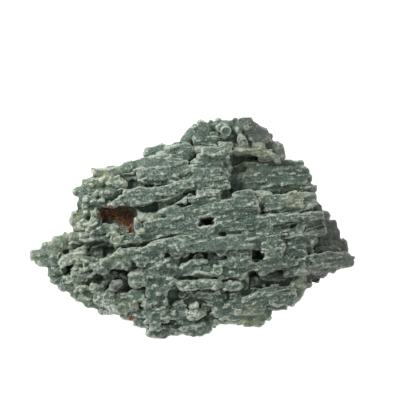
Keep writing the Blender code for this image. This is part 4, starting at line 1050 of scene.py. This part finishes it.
def relaxed(points, edges, rounds):
    """The points after each has moved towards the mean of its neighbours, round after round."""
    count = len(points)
    ends = np.concatenate((edges[:, 0], edges[:, 1]))
    others = np.concatenate((edges[:, 1], edges[:, 0]))
    share = 1 / np.maximum(1, np.bincount(ends, minlength=count))
    smooth = points.astype(np.float64)
    for _ in range(rounds):
        smooth = np.stack([np.bincount(ends, smooth[others, axis], count) * share for axis in range(3)], axis=1)
    return smooth


def bulge(points, edges, normals, rounds):
    """How far each point stands out from the smoothed surface, along its normal."""
    return np.einsum("ij,ij->i", points - relaxed(points, edges, rounds), normals)


def give(mesh, name, values):
    """Stores one value a point on a mesh, for its material."""
    layer = mesh.attributes.get(name) or mesh.attributes.new(name, "FLOAT", "POINT")
    layer.data.foreach_set("value", np.clip(values, 0, 1).astype(np.float32))


def spots(points, table):
    """The strongest spot of a table at each point, fading out at its edge."""
    found = np.zeros(len(points))
    for x, y, reach, strength in table:
        away = np.hypot(points[:, 0] / MM - x, points[:, 1] / MM - y) / reach
        found = np.maximum(found, strength * np.clip(1.35 - away, 0, 1) ** 0.8)
    return found


def in_patch(x, y, patch):
    """Whether places lie inside a closed outline."""
    found = np.zeros(len(x), bool)
    for (x0, y0), (x1, y1) in zip(patch, patch[1:] + patch[:1]):
        crosses = (y0 <= y) != (y1 <= y)
        found ^= crosses & (x < x0 + (x1 - x0) * (y - y0) / (y1 - y0 + 1e-12))
    return found


def rust_at(points):
    """How rusty each point is."""
    x, y = points[:, 0] / MM, points[:, 1] / MM
    steps = ((0, 0), (0.8, 0), (-0.8, 0), (0, 0.8), (0, -0.8), (1.1, 1.1), (-1.1, -1.1), (1.1, -1.1), (-1.1, 1.1))
    found = sum(in_patch(x + dx, y + dy, RUST_PATCH) for dx, dy in steps) / len(steps)
    for spot_x, spot_y, reach in RUST_FLECKS:
        found = np.maximum(found, np.clip(1.3 - np.hypot(x - spot_x, y - spot_y) / reach, 0, 1))
    return found * np.clip((points[:, 2] - RUST_FLOOR) / RUST_EDGE, 0, 1)


class HeightMap:
    """Height of the whole specimen's top over a grid in plan."""

    CELL = 0.0006
    TURNS = 12
    REACHES = (0.0011, 0.0018, 0.0027, 0.0040, 0.0060)

    def __init__(self, pieces):
        self.low = np.array(CAD_LOW[:2]) - 12 * self.CELL
        size = ((np.array(CAD_HIGH[:2]) - self.low) / self.CELL).astype(int) + 13
        self.top = np.zeros(size)
        for piece in pieces:
            points = arrays(piece.data)[0]
            i, j = self.cells(points[:, 0], points[:, 1])
            np.maximum.at(self.top, (i, j), points[:, 2])
        near = [np.roll(self.top, step, axis) for axis in (0, 1) for step in (-1, 1)]
        # A cell that no point fell in takes the second highest of the four next to it
        self.top = np.where(self.top > 0, self.top, np.partition(near, 2, axis=0)[2])

    def cells(self, x, y):
        """Grid cell of each place."""
        i = ((x - self.low[0]) / self.CELL).astype(int)
        j = ((y - self.low[1]) / self.CELL).astype(int)
        return np.clip(i, 0, self.top.shape[0] - 1), np.clip(j, 0, self.top.shape[1] - 1)

    def at(self, x, y):
        """Height at each place."""
        return self.top[self.cells(x, y)]

    def closed_in(self, points):
        """How much of the sky each point loses to what stands round it, from 0 in the open to 1 deep between the
        fingers.
        """
        lost = np.zeros(len(points))
        for turn in np.arange(self.TURNS) * math.tau / self.TURNS:
            steepest = np.zeros(len(points))
            for away in self.REACHES:
                height = self.at(points[:, 0] + away * math.cos(turn), points[:, 1] + away * math.sin(turn))
                steepest = np.maximum(steepest, (height - points[:, 2]) / away)
            lost += np.arctan(steepest) / (math.pi / 2)
        return lost / self.TURNS


def tint(piece, height_map):
    """Stores painted rim light, painted shade and shadow, stains and bare crust, for the piece's material."""
    mesh = piece.data
    points, edges, normals = arrays(mesh)
    fine = bulge(points, edges, normals, FINE_ROUNDS)
    coarse = bulge(points, edges, normals, COARSE_ROUNDS)
    closed = height_map.closed_in(points)
    below = height_map.at(points[:, 0], points[:, 1]) - points[:, 2]
    on_top = np.clip(1.5 - below / TOP_BAND, 0, 1)
    facing = relaxed(normals, edges, 4)[:, 2]
    slanted = np.clip((LIMB_HIGHLIGHT_SLANT[0] - facing) / LIMB_HIGHLIGHT_SLANT[1], 0, 1)
    # Painted highlight: a pale band on the flanks just below the top, where the surface turns down
    give(mesh, "limb_highlight", slanted * np.clip((facing - LIMB_HIGHLIGHT_FOOT[0]) / LIMB_HIGHLIGHT_FOOT[1], 0, 1) * on_top)
    # Painted rim light: cream on crests and thin edges, where the surface stands out from its smoothed form
    give(mesh, "cream_rim_light", fine / RIM_LIGHT_FULL[0] + coarse / RIM_LIGHT_FULL[1] - RIM_LIGHT_FULL[2])
    # Painted shade in hollows, where the surface lies below its smoothed form
    give(mesh, "hollow", -coarse / HOLLOW_SHADE_FULL[1] - fine / HOLLOW_SHADE_FULL[0] - HOLLOW_SHADE_FULL[2])
    # Painted shade where a point loses sky to what stands round it, fading out deep below the top
    give(mesh, "gap", (closed - GAP_SHADE[0]) / GAP_SHADE[1] * np.clip(1.6 - below / GAP_SHADE_DEPTH, 0, 1))
    # Stains, white patches, and the grey and bare marks, which also carry painted shade and painted shadow
    for name, table in (("warm", WARM_SPOTS), ("grey", GREY_AND_SHADED_SPOTS), ("bare_and_shaded", BARE_AND_SHADED_SPOTS), ("white", WHITE_SPOTS)):
        give(mesh, name, spots(points, table))
    give(mesh, "rust", rust_at(points))


def crystal_form():
    """One small tabular crystal, a cube primitive drawn in towards its top: its corners and its faces."""
    choose_nothing()
    bpy.ops.mesh.primitive_cube_add(size=1.0)
    obj = bpy.context.view_layer.objects.active
    bpy.ops.object.mode_set(mode="EDIT")
    bpy.ops.mesh.select_all(action="SELECT")
    bpy.ops.transform.resize(value=(1.0, 0.42, 0.85))
    bpy.ops.object.mode_set(mode="OBJECT")
    for face in obj.data.polygons:
        face.select = face.normal.z > 0.5
    bpy.ops.object.mode_set(mode="EDIT")
    bpy.ops.transform.resize(value=(0.62, 0.45, 1.0))
    bpy.ops.mesh.select_all(action="SELECT")
    bpy.ops.mesh.quads_convert_to_tris()
    bpy.ops.object.mode_set(mode="OBJECT")
    return form_of(obj)


def grain_form():
    """One rust grain, an icosphere flattened and bumped: its corners and its faces."""
    choose_nothing()
    bpy.ops.mesh.primitive_ico_sphere_add(subdivisions=1, radius=0.5)
    obj = bpy.context.view_layer.objects.active
    bpy.ops.object.mode_set(mode="EDIT")
    bpy.ops.mesh.select_all(action="SELECT")
    bpy.ops.transform.resize(value=(1.0, 0.8, 0.65))
    bpy.ops.transform.vertex_random(offset=0.07, seed=SEED)
    bpy.ops.object.mode_set(mode="OBJECT")
    return form_of(obj)


def form_of(obj):
    """A small model's corners and faces as arrays; the model itself is removed."""
    corners = np.array([vert.co[:] for vert in obj.data.vertices])
    faces = np.array([face.vertices[:] for face in obj.data.polygons])
    bpy.data.objects.remove(obj)
    return corners, faces


def strewn(name, form, places, normals, sizes, draw, tilt):
    """Copies of a small form, set on places along their normals, each turned and tilted at random."""
    corners, faces = form
    count = len(places)
    up = normals + tilt * draw.normal(size=(count, 3))
    up /= np.linalg.norm(up, axis=1, keepdims=True)
    side = np.cross(up, draw.normal(size=(count, 3)))
    side /= np.linalg.norm(side, axis=1, keepdims=True)
    across = np.cross(up, side)
    turned = sum(corners[None, :, i, None] * axis[:, None, :] for i, axis in enumerate((side, across, up)))
    points = places[:, None, :] + turned * sizes[:, None, None]
    points = np.clip(points.reshape(-1, 3), np.array(CAD_LOW), np.array(CAD_HIGH))
    numbers = (faces[None] + np.arange(count)[:, None, None] * len(corners)).reshape(-1, 3)
    mesh = bpy.data.meshes.new(name)
    mesh.from_pydata(points.tolist(), [], numbers.tolist())
    mesh.validate()
    obj = bpy.data.objects.new(name, mesh)
    bpy.context.scene.collection.objects.link(obj)
    choose(obj)
    return obj


def surface_draw(pieces, weigh, count, draw):
    """Points drawn on the pieces' faces, with their normals, in proportion to area and to weigh(points, normals)."""
    centres, ways, weights = [], [], []
    for piece in pieces:
        faces = piece.data.polygons
        centres.append(values(faces, "center", 3))
        ways.append(values(faces, "normal", 3))
        weights.append(values(faces, "area", 1)[:, 0] * weigh(centres[-1], ways[-1]))
    centres, ways, weights = np.concatenate(centres), np.concatenate(ways), np.concatenate(weights)
    chosen = draw.choice(len(weights), count, replace=False, p=weights / weights.sum())
    return centres[chosen].astype(np.float64), ways[chosen].astype(np.float64)


def linear(code):
    """A colour in linear light from its sRGB hex code."""
    parts = [int(code[i : i + 2], 16) / 255 for i in (0, 2, 4)]
    return (*(part / 12.92 if part <= 0.04045 else ((part + 0.055) / 1.055) ** 2.4 for part in parts), 1.0)


def node(tree, kind, links=None, **settings):
    """Adds a node with its settings, its fixed inputs and the links into it."""
    made = tree.nodes.new(kind)
    for name, value in settings.items():
        setattr(made, name, value)
    for socket, value in (links or {}).items():
        if isinstance(value, bpy.types.NodeSocket):
            tree.links.new(value, made.inputs[socket])
        else:
            made.inputs[socket].default_value = value
    return made


def blank_material(name):
    """A new material with an empty node tree, its output and its shader."""
    material = bpy.data.materials.new(name)
    material.use_nodes = True
    tree = material.node_tree
    tree.nodes.clear()
    shader = node(tree, "ShaderNodeBsdfPrincipled")
    node(tree, "ShaderNodeOutputMaterial", {"Surface": shader.outputs["BSDF"]})
    return material, tree, shader


def prehnite_druse(colours):
    """Prehnite grown as a druse over finger casts.

    The mineral is a translucent grey-green glass-like solid, and the crust of tiny crystals scatters light at its
    surface. To the eye it is frosted and sugary, dark and greener where it is thick. Cream is painted on as rim light
    where an edge is thin, and dark green as painted shade in hollows and deep between the fingers.
    """
    material, tree, shader = blank_material("prehnite_druse")
    place = node(tree, "ShaderNodeTexCoord").outputs["Object"]
    marks = ("limb_highlight", "cream_rim_light", "hollow", "gap", "bare_and_shaded", "warm", "grey", "white", "rust")
    at = {name: node(tree, "ShaderNodeAttribute", attribute_name=name).outputs["Fac"] for name in marks}

    # Patterns by their width: clouds of thicker mineral 7 mm, stain 4 mm, crust 3 mm, rust blotches 2 mm. The sugary
    # speckle is of crystals half a millimetre wide, drawn twice as coarse to show
    for name, width, detail, low, high in (
        ("clouds", 7.0, 2.0, 0.36, 0.64),
        ("stain", 4.0, 2.0, 0.30, 0.62),
        ("crust", 3.0, 3.0, 0.40, 0.62),
        ("blotch", 2.0, 4.0, 0.40, 0.66),
        ("flakes", 1.6, 2.0, 0.25, 0.50),
        ("speckle", 0.9, 2.0, 0.42, 0.60),
    ):
        links = {"Vector": place, "Scale": 1 / (width * MM), "Detail": detail, "Roughness": 0.6}
        pattern = node(tree, "ShaderNodeTexNoise", links).outputs["Fac"]
        at[name] = node(tree, "ShaderNodeMapRange", {"Value": pattern, "From Min": low, "From Max": high}).outputs[0]
    # The edge mark is painted rim light: the crests and the limb band, where the cream layer goes
    ridge = node(tree, "ShaderNodeMapRange", {"Value": at["cream_rim_light"], "From Min": 0.28, "From Max": 1.15}).outputs[0]
    at["edge"] = node(tree, "ShaderNodeMath", {0: ridge, 1: at["limb_highlight"]}, operation="MAXIMUM").outputs[0]

    # Layers over the dark body, each with the factors of its share: pattern or mark, gain and offset. The cream layer
    # is painted rim light on thin edges and flanks, where light would shine through, and the dark green layers are
    # painted shade in hollows and deep between the fingers
    colour = linear(colours.body_dark)
    for code, factors in (
        (colours.body_light, (("clouds", 1.0, 0.0),)),
        # Less frost where the crust is bare, and as painted shadow on the slab and the strip beside the block
        (colours.frost, (("speckle", 1.0, 0.0), ("crust", 0.40, 0.21), ("bare_and_shaded", -0.55, 1.0))),
        # Brownish grey, partly painted shade on the low flanks
        (colours.grey, (("grey", 0.85, 0.0),)),
        (colours.warm, (("warm", 1.0, 0.0), ("stain", 1.0, 0.0))),
        (colours.white, (("white", 1.0, 0.0), ("speckle", 1.0, 0.0))),
        # Painted rim light in cream, held back on the grey flanks
        (colours.cream_rim_light, (("edge", 1.0, 0.0), ("grey", -0.85, 1.0), ("speckle", 0.35, 0.65))),
        # Painted shade: dark green in hollows and deep between the fingers
        (colours.gap, (("hollow", 0.55, 0.0),)),
        (colours.gap, (("gap", 0.6, 0.0),)),
        (colours.rust_dark, (("rust", 1.0, 0.0), ("flakes", 1.0, 0.0))),
        (colours.rust, (("rust", 1.0, 0.0), ("flakes", 1.0, 0.0), ("blotch", 1.0, 0.0))),
    ):
        share = 1.0
        for name, gain, offset in factors:
            links = {0: at[name], 1: gain, 2: offset}
            factor = node(tree, "ShaderNodeMath", links, operation="MULTIPLY_ADD").outputs[0]
            share = node(tree, "ShaderNodeMath", {0: share, 1: factor}, operation="MULTIPLY").outputs[0]
        layer = node(tree, "ShaderNodeMix", {0: share, 6: colour, 7: linear(code)}, data_type="RGBA")
        colour = layer.outputs[2]
    tree.links.new(colour, shader.inputs["Base Color"])

    # Grit of the crust, a millimetre wide, with finer sugar on it; clean crystal faces are glossier than the rest
    coarse = node(tree, "ShaderNodeTexNoise", {"Vector": place, "Scale": 1 / (0.95 * MM), "Detail": 3.0})
    fine = node(tree, "ShaderNodeTexNoise", {"Vector": place, "Scale": 1 / (0.5 * MM), "Detail": 1.0})
    links = {0: fine.outputs["Fac"], 1: 0.4, 2: coarse.outputs["Fac"]}
    grit = node(tree, "ShaderNodeMath", links, operation="MULTIPLY_ADD")
    relief = node(tree, "ShaderNodeBump", {"Strength": 1.0, "Distance": 0.0006, "Height": grit.outputs[0]})
    tree.links.new(relief.outputs[0], shader.inputs["Normal"])
    gloss = node(tree, "ShaderNodeMath", {0: at["speckle"], 1: -0.16, 2: 0.56}, operation="MULTIPLY_ADD")
    tree.links.new(gloss.outputs[0], shader.inputs["Roughness"])
    shader.inputs["IOR"].default_value = 1.62
    shader.inputs["Subsurface Weight"].default_value = 0.05
    shader.inputs["Subsurface Scale"].default_value = 0.0010
    shader.inputs["Subsurface Radius"].default_value = (1.0, 1.25, 1.0)
    shader.inputs["Sheen Weight"].default_value = 0.12
    shader.inputs["Sheen Roughness"].default_value = 0.35
    return material


def crystal_glass(colours):
    """Small clean prehnite crystals of the druse: clear faces over a pale green body, which glint and look frosted."""
    material, tree, shader = blank_material("prehnite_crystals")
    place = node(tree, "ShaderNodeTexCoord").outputs["Object"]
    drift = node(tree, "ShaderNodeTexNoise", {"Vector": place, "Scale": 1 / (2.2 * MM), "Detail": 2.0}).outputs["Fac"]
    share = node(
        tree, "ShaderNodeMapRange", {"Value": drift, "From Min": 0.38, "From Max": 0.64}, clamp=True
    ).outputs[0]
    tone = node(tree, "ShaderNodeMix", {0: share}, data_type="RGBA")
    tone.inputs[6].default_value = linear(colours.body_light)
    tone.inputs[7].default_value = linear(colours.cream_rim_light)
    tree.links.new(tone.outputs[2], shader.inputs["Base Color"])
    shader.inputs["Roughness"].default_value = 0.28
    shader.inputs["IOR"].default_value = 1.62
    return material


def iron_rust(colours):
    """Limonite, a crust of iron rust left by water: dull, crumbly, mottled from ochre to nearly black."""
    material, tree, shader = blank_material("limonite_crust")
    place = node(tree, "ShaderNodeTexCoord").outputs["Object"]
    drift = node(tree, "ShaderNodeTexNoise", {"Vector": place, "Scale": 1 / (1.1 * MM), "Detail": 3.0}).outputs["Fac"]
    ramp = node(tree, "ShaderNodeValToRGB", {"Fac": drift})
    ramp.color_ramp.elements[0].position = 0.36
    ramp.color_ramp.elements[0].color = linear(colours.rust_dark)
    ramp.color_ramp.elements[1].position = 0.66
    ramp.color_ramp.elements[1].color = linear("b8834c")
    middle = ramp.color_ramp.elements.new(0.5)
    middle.color = linear(colours.rust)
    tree.links.new(ramp.outputs["Color"], shader.inputs["Base Color"])
    shader.inputs["Roughness"].default_value = 0.85
    return material


def settle(piece, material):
    """Gives the piece the given finish, lets it ride the root, and hides the solid's part that it stands for."""
    piece.data.materials.clear()
    piece.data.materials.append(material)
    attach(piece, "root")
    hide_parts(NODE)


def nearest_group(x, y):
    """The group whose fingers pass nearest to a place."""
    best, found = None, FACE_GROUPS[0][0]
    for name, rows, *_ in FACE_GROUPS:
        for x0, y0, x1, y1, *_ in rows:
            along = (x - x0) * (x1 - x0) + (y - y0) * (y1 - y0)
            share = min(1.0, max(0.0, along / ((x1 - x0) ** 2 + (y1 - y0) ** 2)))
            away = math.hypot(x - x0 - share * (x1 - x0), y - y0 - share * (y1 - y0))
            if best is None or away < best:
                best, found = away, name
    return found


# The pieces of fingers in the order of their making, which the later operators tint and strew
PIECES = []


class CLUSTER_OT_core(bpy.types.Operator):
    """Adds the mass inside, with the layer of fingers just under the face"""

    bl_idname = "cluster.core"
    bl_label = "Core"

    def execute(self, context):
        sizes = context.scene.cluster_sizes
        dice = random.Random(SEED)
        core = mass("cluster_core")
        core = joined(core, [tubes("under", finger_runs(under_fingers(dice), 1.0, 0.0, dice), dice)])
        grow(core, 1.3 * sizes.side_grain, sizes)
        PIECES.append(core)
        return {"FINISHED"}


class CLUSTER_OT_sides(bpy.types.Operator):
    """Adds the fingers of the sides, a piece for each quarter"""

    bl_idname = "cluster.sides"
    bl_label = "Side fingers"

    def execute(self, context):
        sizes = context.scene.cluster_sizes
        dice = random.Random(SEED + 1)
        quarters = {"lower_right": [], "lower_left": [], "upper_right": [], "upper_left": []}
        for points, radius in side_fingers(dice):
            middle = (points[0] + points[-1]) / 2
            rank = "upper" if middle.y > 0 else "lower"
            hand = "right" if middle.x > 0 else "left"
            quarters[f"{rank}_{hand}"].append((points, radius))
        for quarter, paths in quarters.items():
            piece = tubes(f"side_fingers_{quarter}", finger_runs(paths, 0.5, 0.7, dice), dice)
            grow(piece, sizes.side_grain, sizes)
            PIECES.append(piece)
        return {"FINISHED"}


class CLUSTER_OT_face(bpy.types.Operator):
    """Adds the fingers, stubs and bent rods of the face, a piece for each region"""

    bl_idname = "cluster.face"
    bl_label = "Face fingers"

    def execute(self, context):
        sizes = context.scene.cluster_sizes
        dice = random.Random(SEED + 2)
        swell = sizes.finger_swell
        paths = {name: [drawn_path(row, swell, dice) for row in rows] for name, rows, *_ in FACE_GROUPS}
        for radius, lift, points in BENT:
            bend = [Vector((x, y, crest(x, y) - radius + lift)) for x, y in points]
            paths[nearest_group(*points[1])].append((bend, radius * swell))
        stubs = {name: [] for name in paths}
        for row in STUBS:
            stubs[nearest_group(row[0], row[1])].append(stub(row, swell))
        for name, _, lobes, rib_rate, knob_rate in FACE_GROUPS:
            runs = finger_runs(paths[name], rib_rate, knob_rate, dice)
            for row in lobes:
                points, radius = face_path(row)
                runs.append(lobe(points, radius, dice))
                runs += knobs(points, radius, round(radius * LOBE_KNOBS), EDGE_TURNS, dice)
            piece = tubes(name, runs, dice)
            if stubs[name]:
                joined(piece, stubs[name])
            grow(piece, sizes.face_grain, sizes)
            PIECES.append(piece)
        return {"FINISHED"}


class CLUSTER_OT_small(bpy.types.Operator):
    """Adds the small fingers that have grown over the large ones and across the gaps between them"""

    bl_idname = "cluster.small"
    bl_label = "Small fingers"

    def execute(self, context):
        sizes = context.scene.cluster_sizes
        dice = random.Random(SEED + 3)
        runs = small_runs(HeightMap(PIECES), sizes.small_count, dice)
        halves = {"small_fingers_lower": [], "small_fingers_upper": []}
        for run in runs:
            halves["small_fingers_upper" if run[0][0].y > -4 else "small_fingers_lower"].append(run)
        for name, part in halves.items():
            piece = tubes(name, part, dice)
            grow(piece, sizes.face_grain, sizes)
            PIECES.append(piece)
        return {"FINISHED"}


class CLUSTER_OT_finish(bpy.types.Operator):
    """Tints the fingers and gives them their material"""

    bl_idname = "cluster.finish"
    bl_label = "Mineral finish"

    def execute(self, context):
        height_map = HeightMap(PIECES)
        material = prehnite_druse(context.scene.cluster_colours)
        for piece in PIECES:
            tint(piece, height_map)
            settle(piece, material)
        return {"FINISHED"}


class CLUSTER_OT_druse(bpy.types.Operator):
    """Strews small crystals over the face and the sides"""

    bl_idname = "cluster.druse"
    bl_label = "Druse crystals"

    def execute(self, context):
        sizes = context.scene.cluster_sizes
        draw = np.random.default_rng(SEED)

        def weigh(points, normals):
            thick = 0.25 + 0.75 * (np.array([noise.noise(Vector(p) / DRUSE_PATCH) for p in points]) > 0.0)
            return thick * np.clip(normals[:, 2] + 0.35, 0.03, 1.0) * (points[:, 2] > 0.002)

        places, ways = surface_draw(PIECES, weigh, sizes.crystal_count, draw)
        lengths = sizes.crystal_size * draw.uniform(*DRUSE_SPREAD, len(places))
        places = places + ways * DRUSE_LIFT
        crystals = strewn("druse_crystals", crystal_form(), places, ways, lengths, draw, DRUSE_TILT)
        settle(crystals, crystal_glass(context.scene.cluster_colours))
        return {"FINISHED"}


class CLUSTER_OT_rust(bpy.types.Operator):
    """Strews rust grains in the hollow at the left"""

    bl_idname = "cluster.rust"
    bl_label = "Rust grains"

    def execute(self, context):
        draw = np.random.default_rng(SEED + 5)

        def weigh(points, normals):
            return rust_at(points) * np.clip(normals[:, 2], 0.0, 1.0) ** 2 + 1e-12

        places, ways = surface_draw(PIECES, weigh, RUST_GRAINS, draw)
        lengths = RUST_SIZE * draw.uniform(*RUST_SPREAD, len(places))
        grains = strewn("rust_grains", grain_form(), places, ways, lengths, draw, RUST_TILT)
        settle(grains, iron_rust(context.scene.cluster_colours))
        return {"FINISHED"}


class CLUSTER_OT_stage(bpy.types.Operator):
    """Adds the light table, the camera and the lights"""

    bl_idname = "cluster.stage"
    bl_label = "Stage"

    def execute(self, context):
        colours = context.scene.cluster_colours
        choose_nothing()
        bpy.ops.mesh.primitive_plane_add(size=6.0, location=(0, 0, -0.0002))
        table = bpy.context.view_layer.objects.active
        table.name = "light_table"
        # Opal acrylic lit from below: to the eye an even, dull white that glows, with a faint shade at the specimen
        material, _, shader = blank_material("opal_acrylic_table")
        shader.inputs["Base Color"].default_value = linear(colours.floor)
        shader.inputs["Roughness"].default_value = 0.9
        shader.inputs["Specular IOR Level"].default_value = 0.0
        shader.inputs["Emission Color"].default_value = linear(colours.floor)
        shader.inputs["Emission Strength"].default_value = TABLE_GLOW
        table.data.materials.append(material)
        table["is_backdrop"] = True

        world = bpy.data.worlds.new("studio")
        context.scene.world = world
        world.use_nodes = True
        sky = world.node_tree.nodes["Background"]
        sky.inputs["Color"].default_value = (1, 1, 1, 1)
        sky.inputs["Strength"].default_value = SKY_LIGHT
        for name, place, size, watts in LAMPS:
            data = bpy.data.lights.new(name, "AREA")
            data.size = size
            data.energy = watts
            lamp = bpy.data.objects.new(name, data)
            lamp.location = place
            aim = Vector(AIM) * MM - lamp.location
            lamp.rotation_euler = aim.to_track_quat("-Z", "Y").to_euler()
            context.scene.collection.objects.link(lamp)

        lens = bpy.data.cameras.new("camera")
        lens.sensor_width = 36
        lens.lens = 36 * CAMERA_DISTANCE / (FRAME_WIDTH * MM)
        lens.clip_start = 0.05
        lens.clip_end = 20
        camera = bpy.data.objects.new("camera", lens)
        camera.location = Vector((AIM[0] * MM, AIM[1] * MM, CAMERA_DISTANCE + AIM[2] * MM))
        context.scene.collection.objects.link(camera)
        context.scene.camera = camera
        context.scene.view_settings.view_transform = "Standard"
        return {"FINISHED"}


class CLUSTER_PT_panel(bpy.types.Panel):
    """Lists the specimen's pieces, sizes and colours"""

    bl_label = "Zeolite crystal cluster"
    bl_idname = "CLUSTER_PT_panel"
    bl_space_type = "VIEW_3D"
    bl_region_type = "UI"
    bl_category = "Mineral"

    def draw(self, context):
        for operator in OPERATORS:
            self.layout.operator(operator.bl_idname)
        for group in (context.scene.cluster_sizes, context.scene.cluster_colours):
            box = self.layout.box()
            for name in group.bl_rna.properties.keys():
                if name not in {"rna_type", "name"}:
                    box.prop(group, name)


OPERATORS = (
    CLUSTER_OT_core,
    CLUSTER_OT_sides,
    CLUSTER_OT_face,
    CLUSTER_OT_small,
    CLUSTER_OT_finish,
    CLUSTER_OT_druse,
    CLUSTER_OT_rust,
    CLUSTER_OT_stage,
)
GROUPS = (CLUSTER_PG_sizes, CLUSTER_PG_colours)


def register():
    for cls in (*GROUPS, *OPERATORS, CLUSTER_PT_panel):
        bpy.utils.register_class(cls)
    bpy.types.Scene.cluster_sizes = bpy.props.PointerProperty(type=CLUSTER_PG_sizes)
    bpy.types.Scene.cluster_colours = bpy.props.PointerProperty(type=CLUSTER_PG_colours)


def unregister():
    del bpy.types.Scene.cluster_colours
    del bpy.types.Scene.cluster_sizes
    for cls in reversed((*GROUPS, *OPERATORS, CLUSTER_PT_panel)):
        bpy.utils.unregister_class(cls)


def main():
    """Builds the whole scene."""
    register()
    bpy.ops.cluster.core()
    bpy.ops.cluster.sides()
    bpy.ops.cluster.face()
    bpy.ops.cluster.small()
    bpy.ops.cluster.finish()
    bpy.ops.cluster.druse()
    bpy.ops.cluster.rust()
    bpy.ops.cluster.stage()


if __name__ == "__main__":
    main()
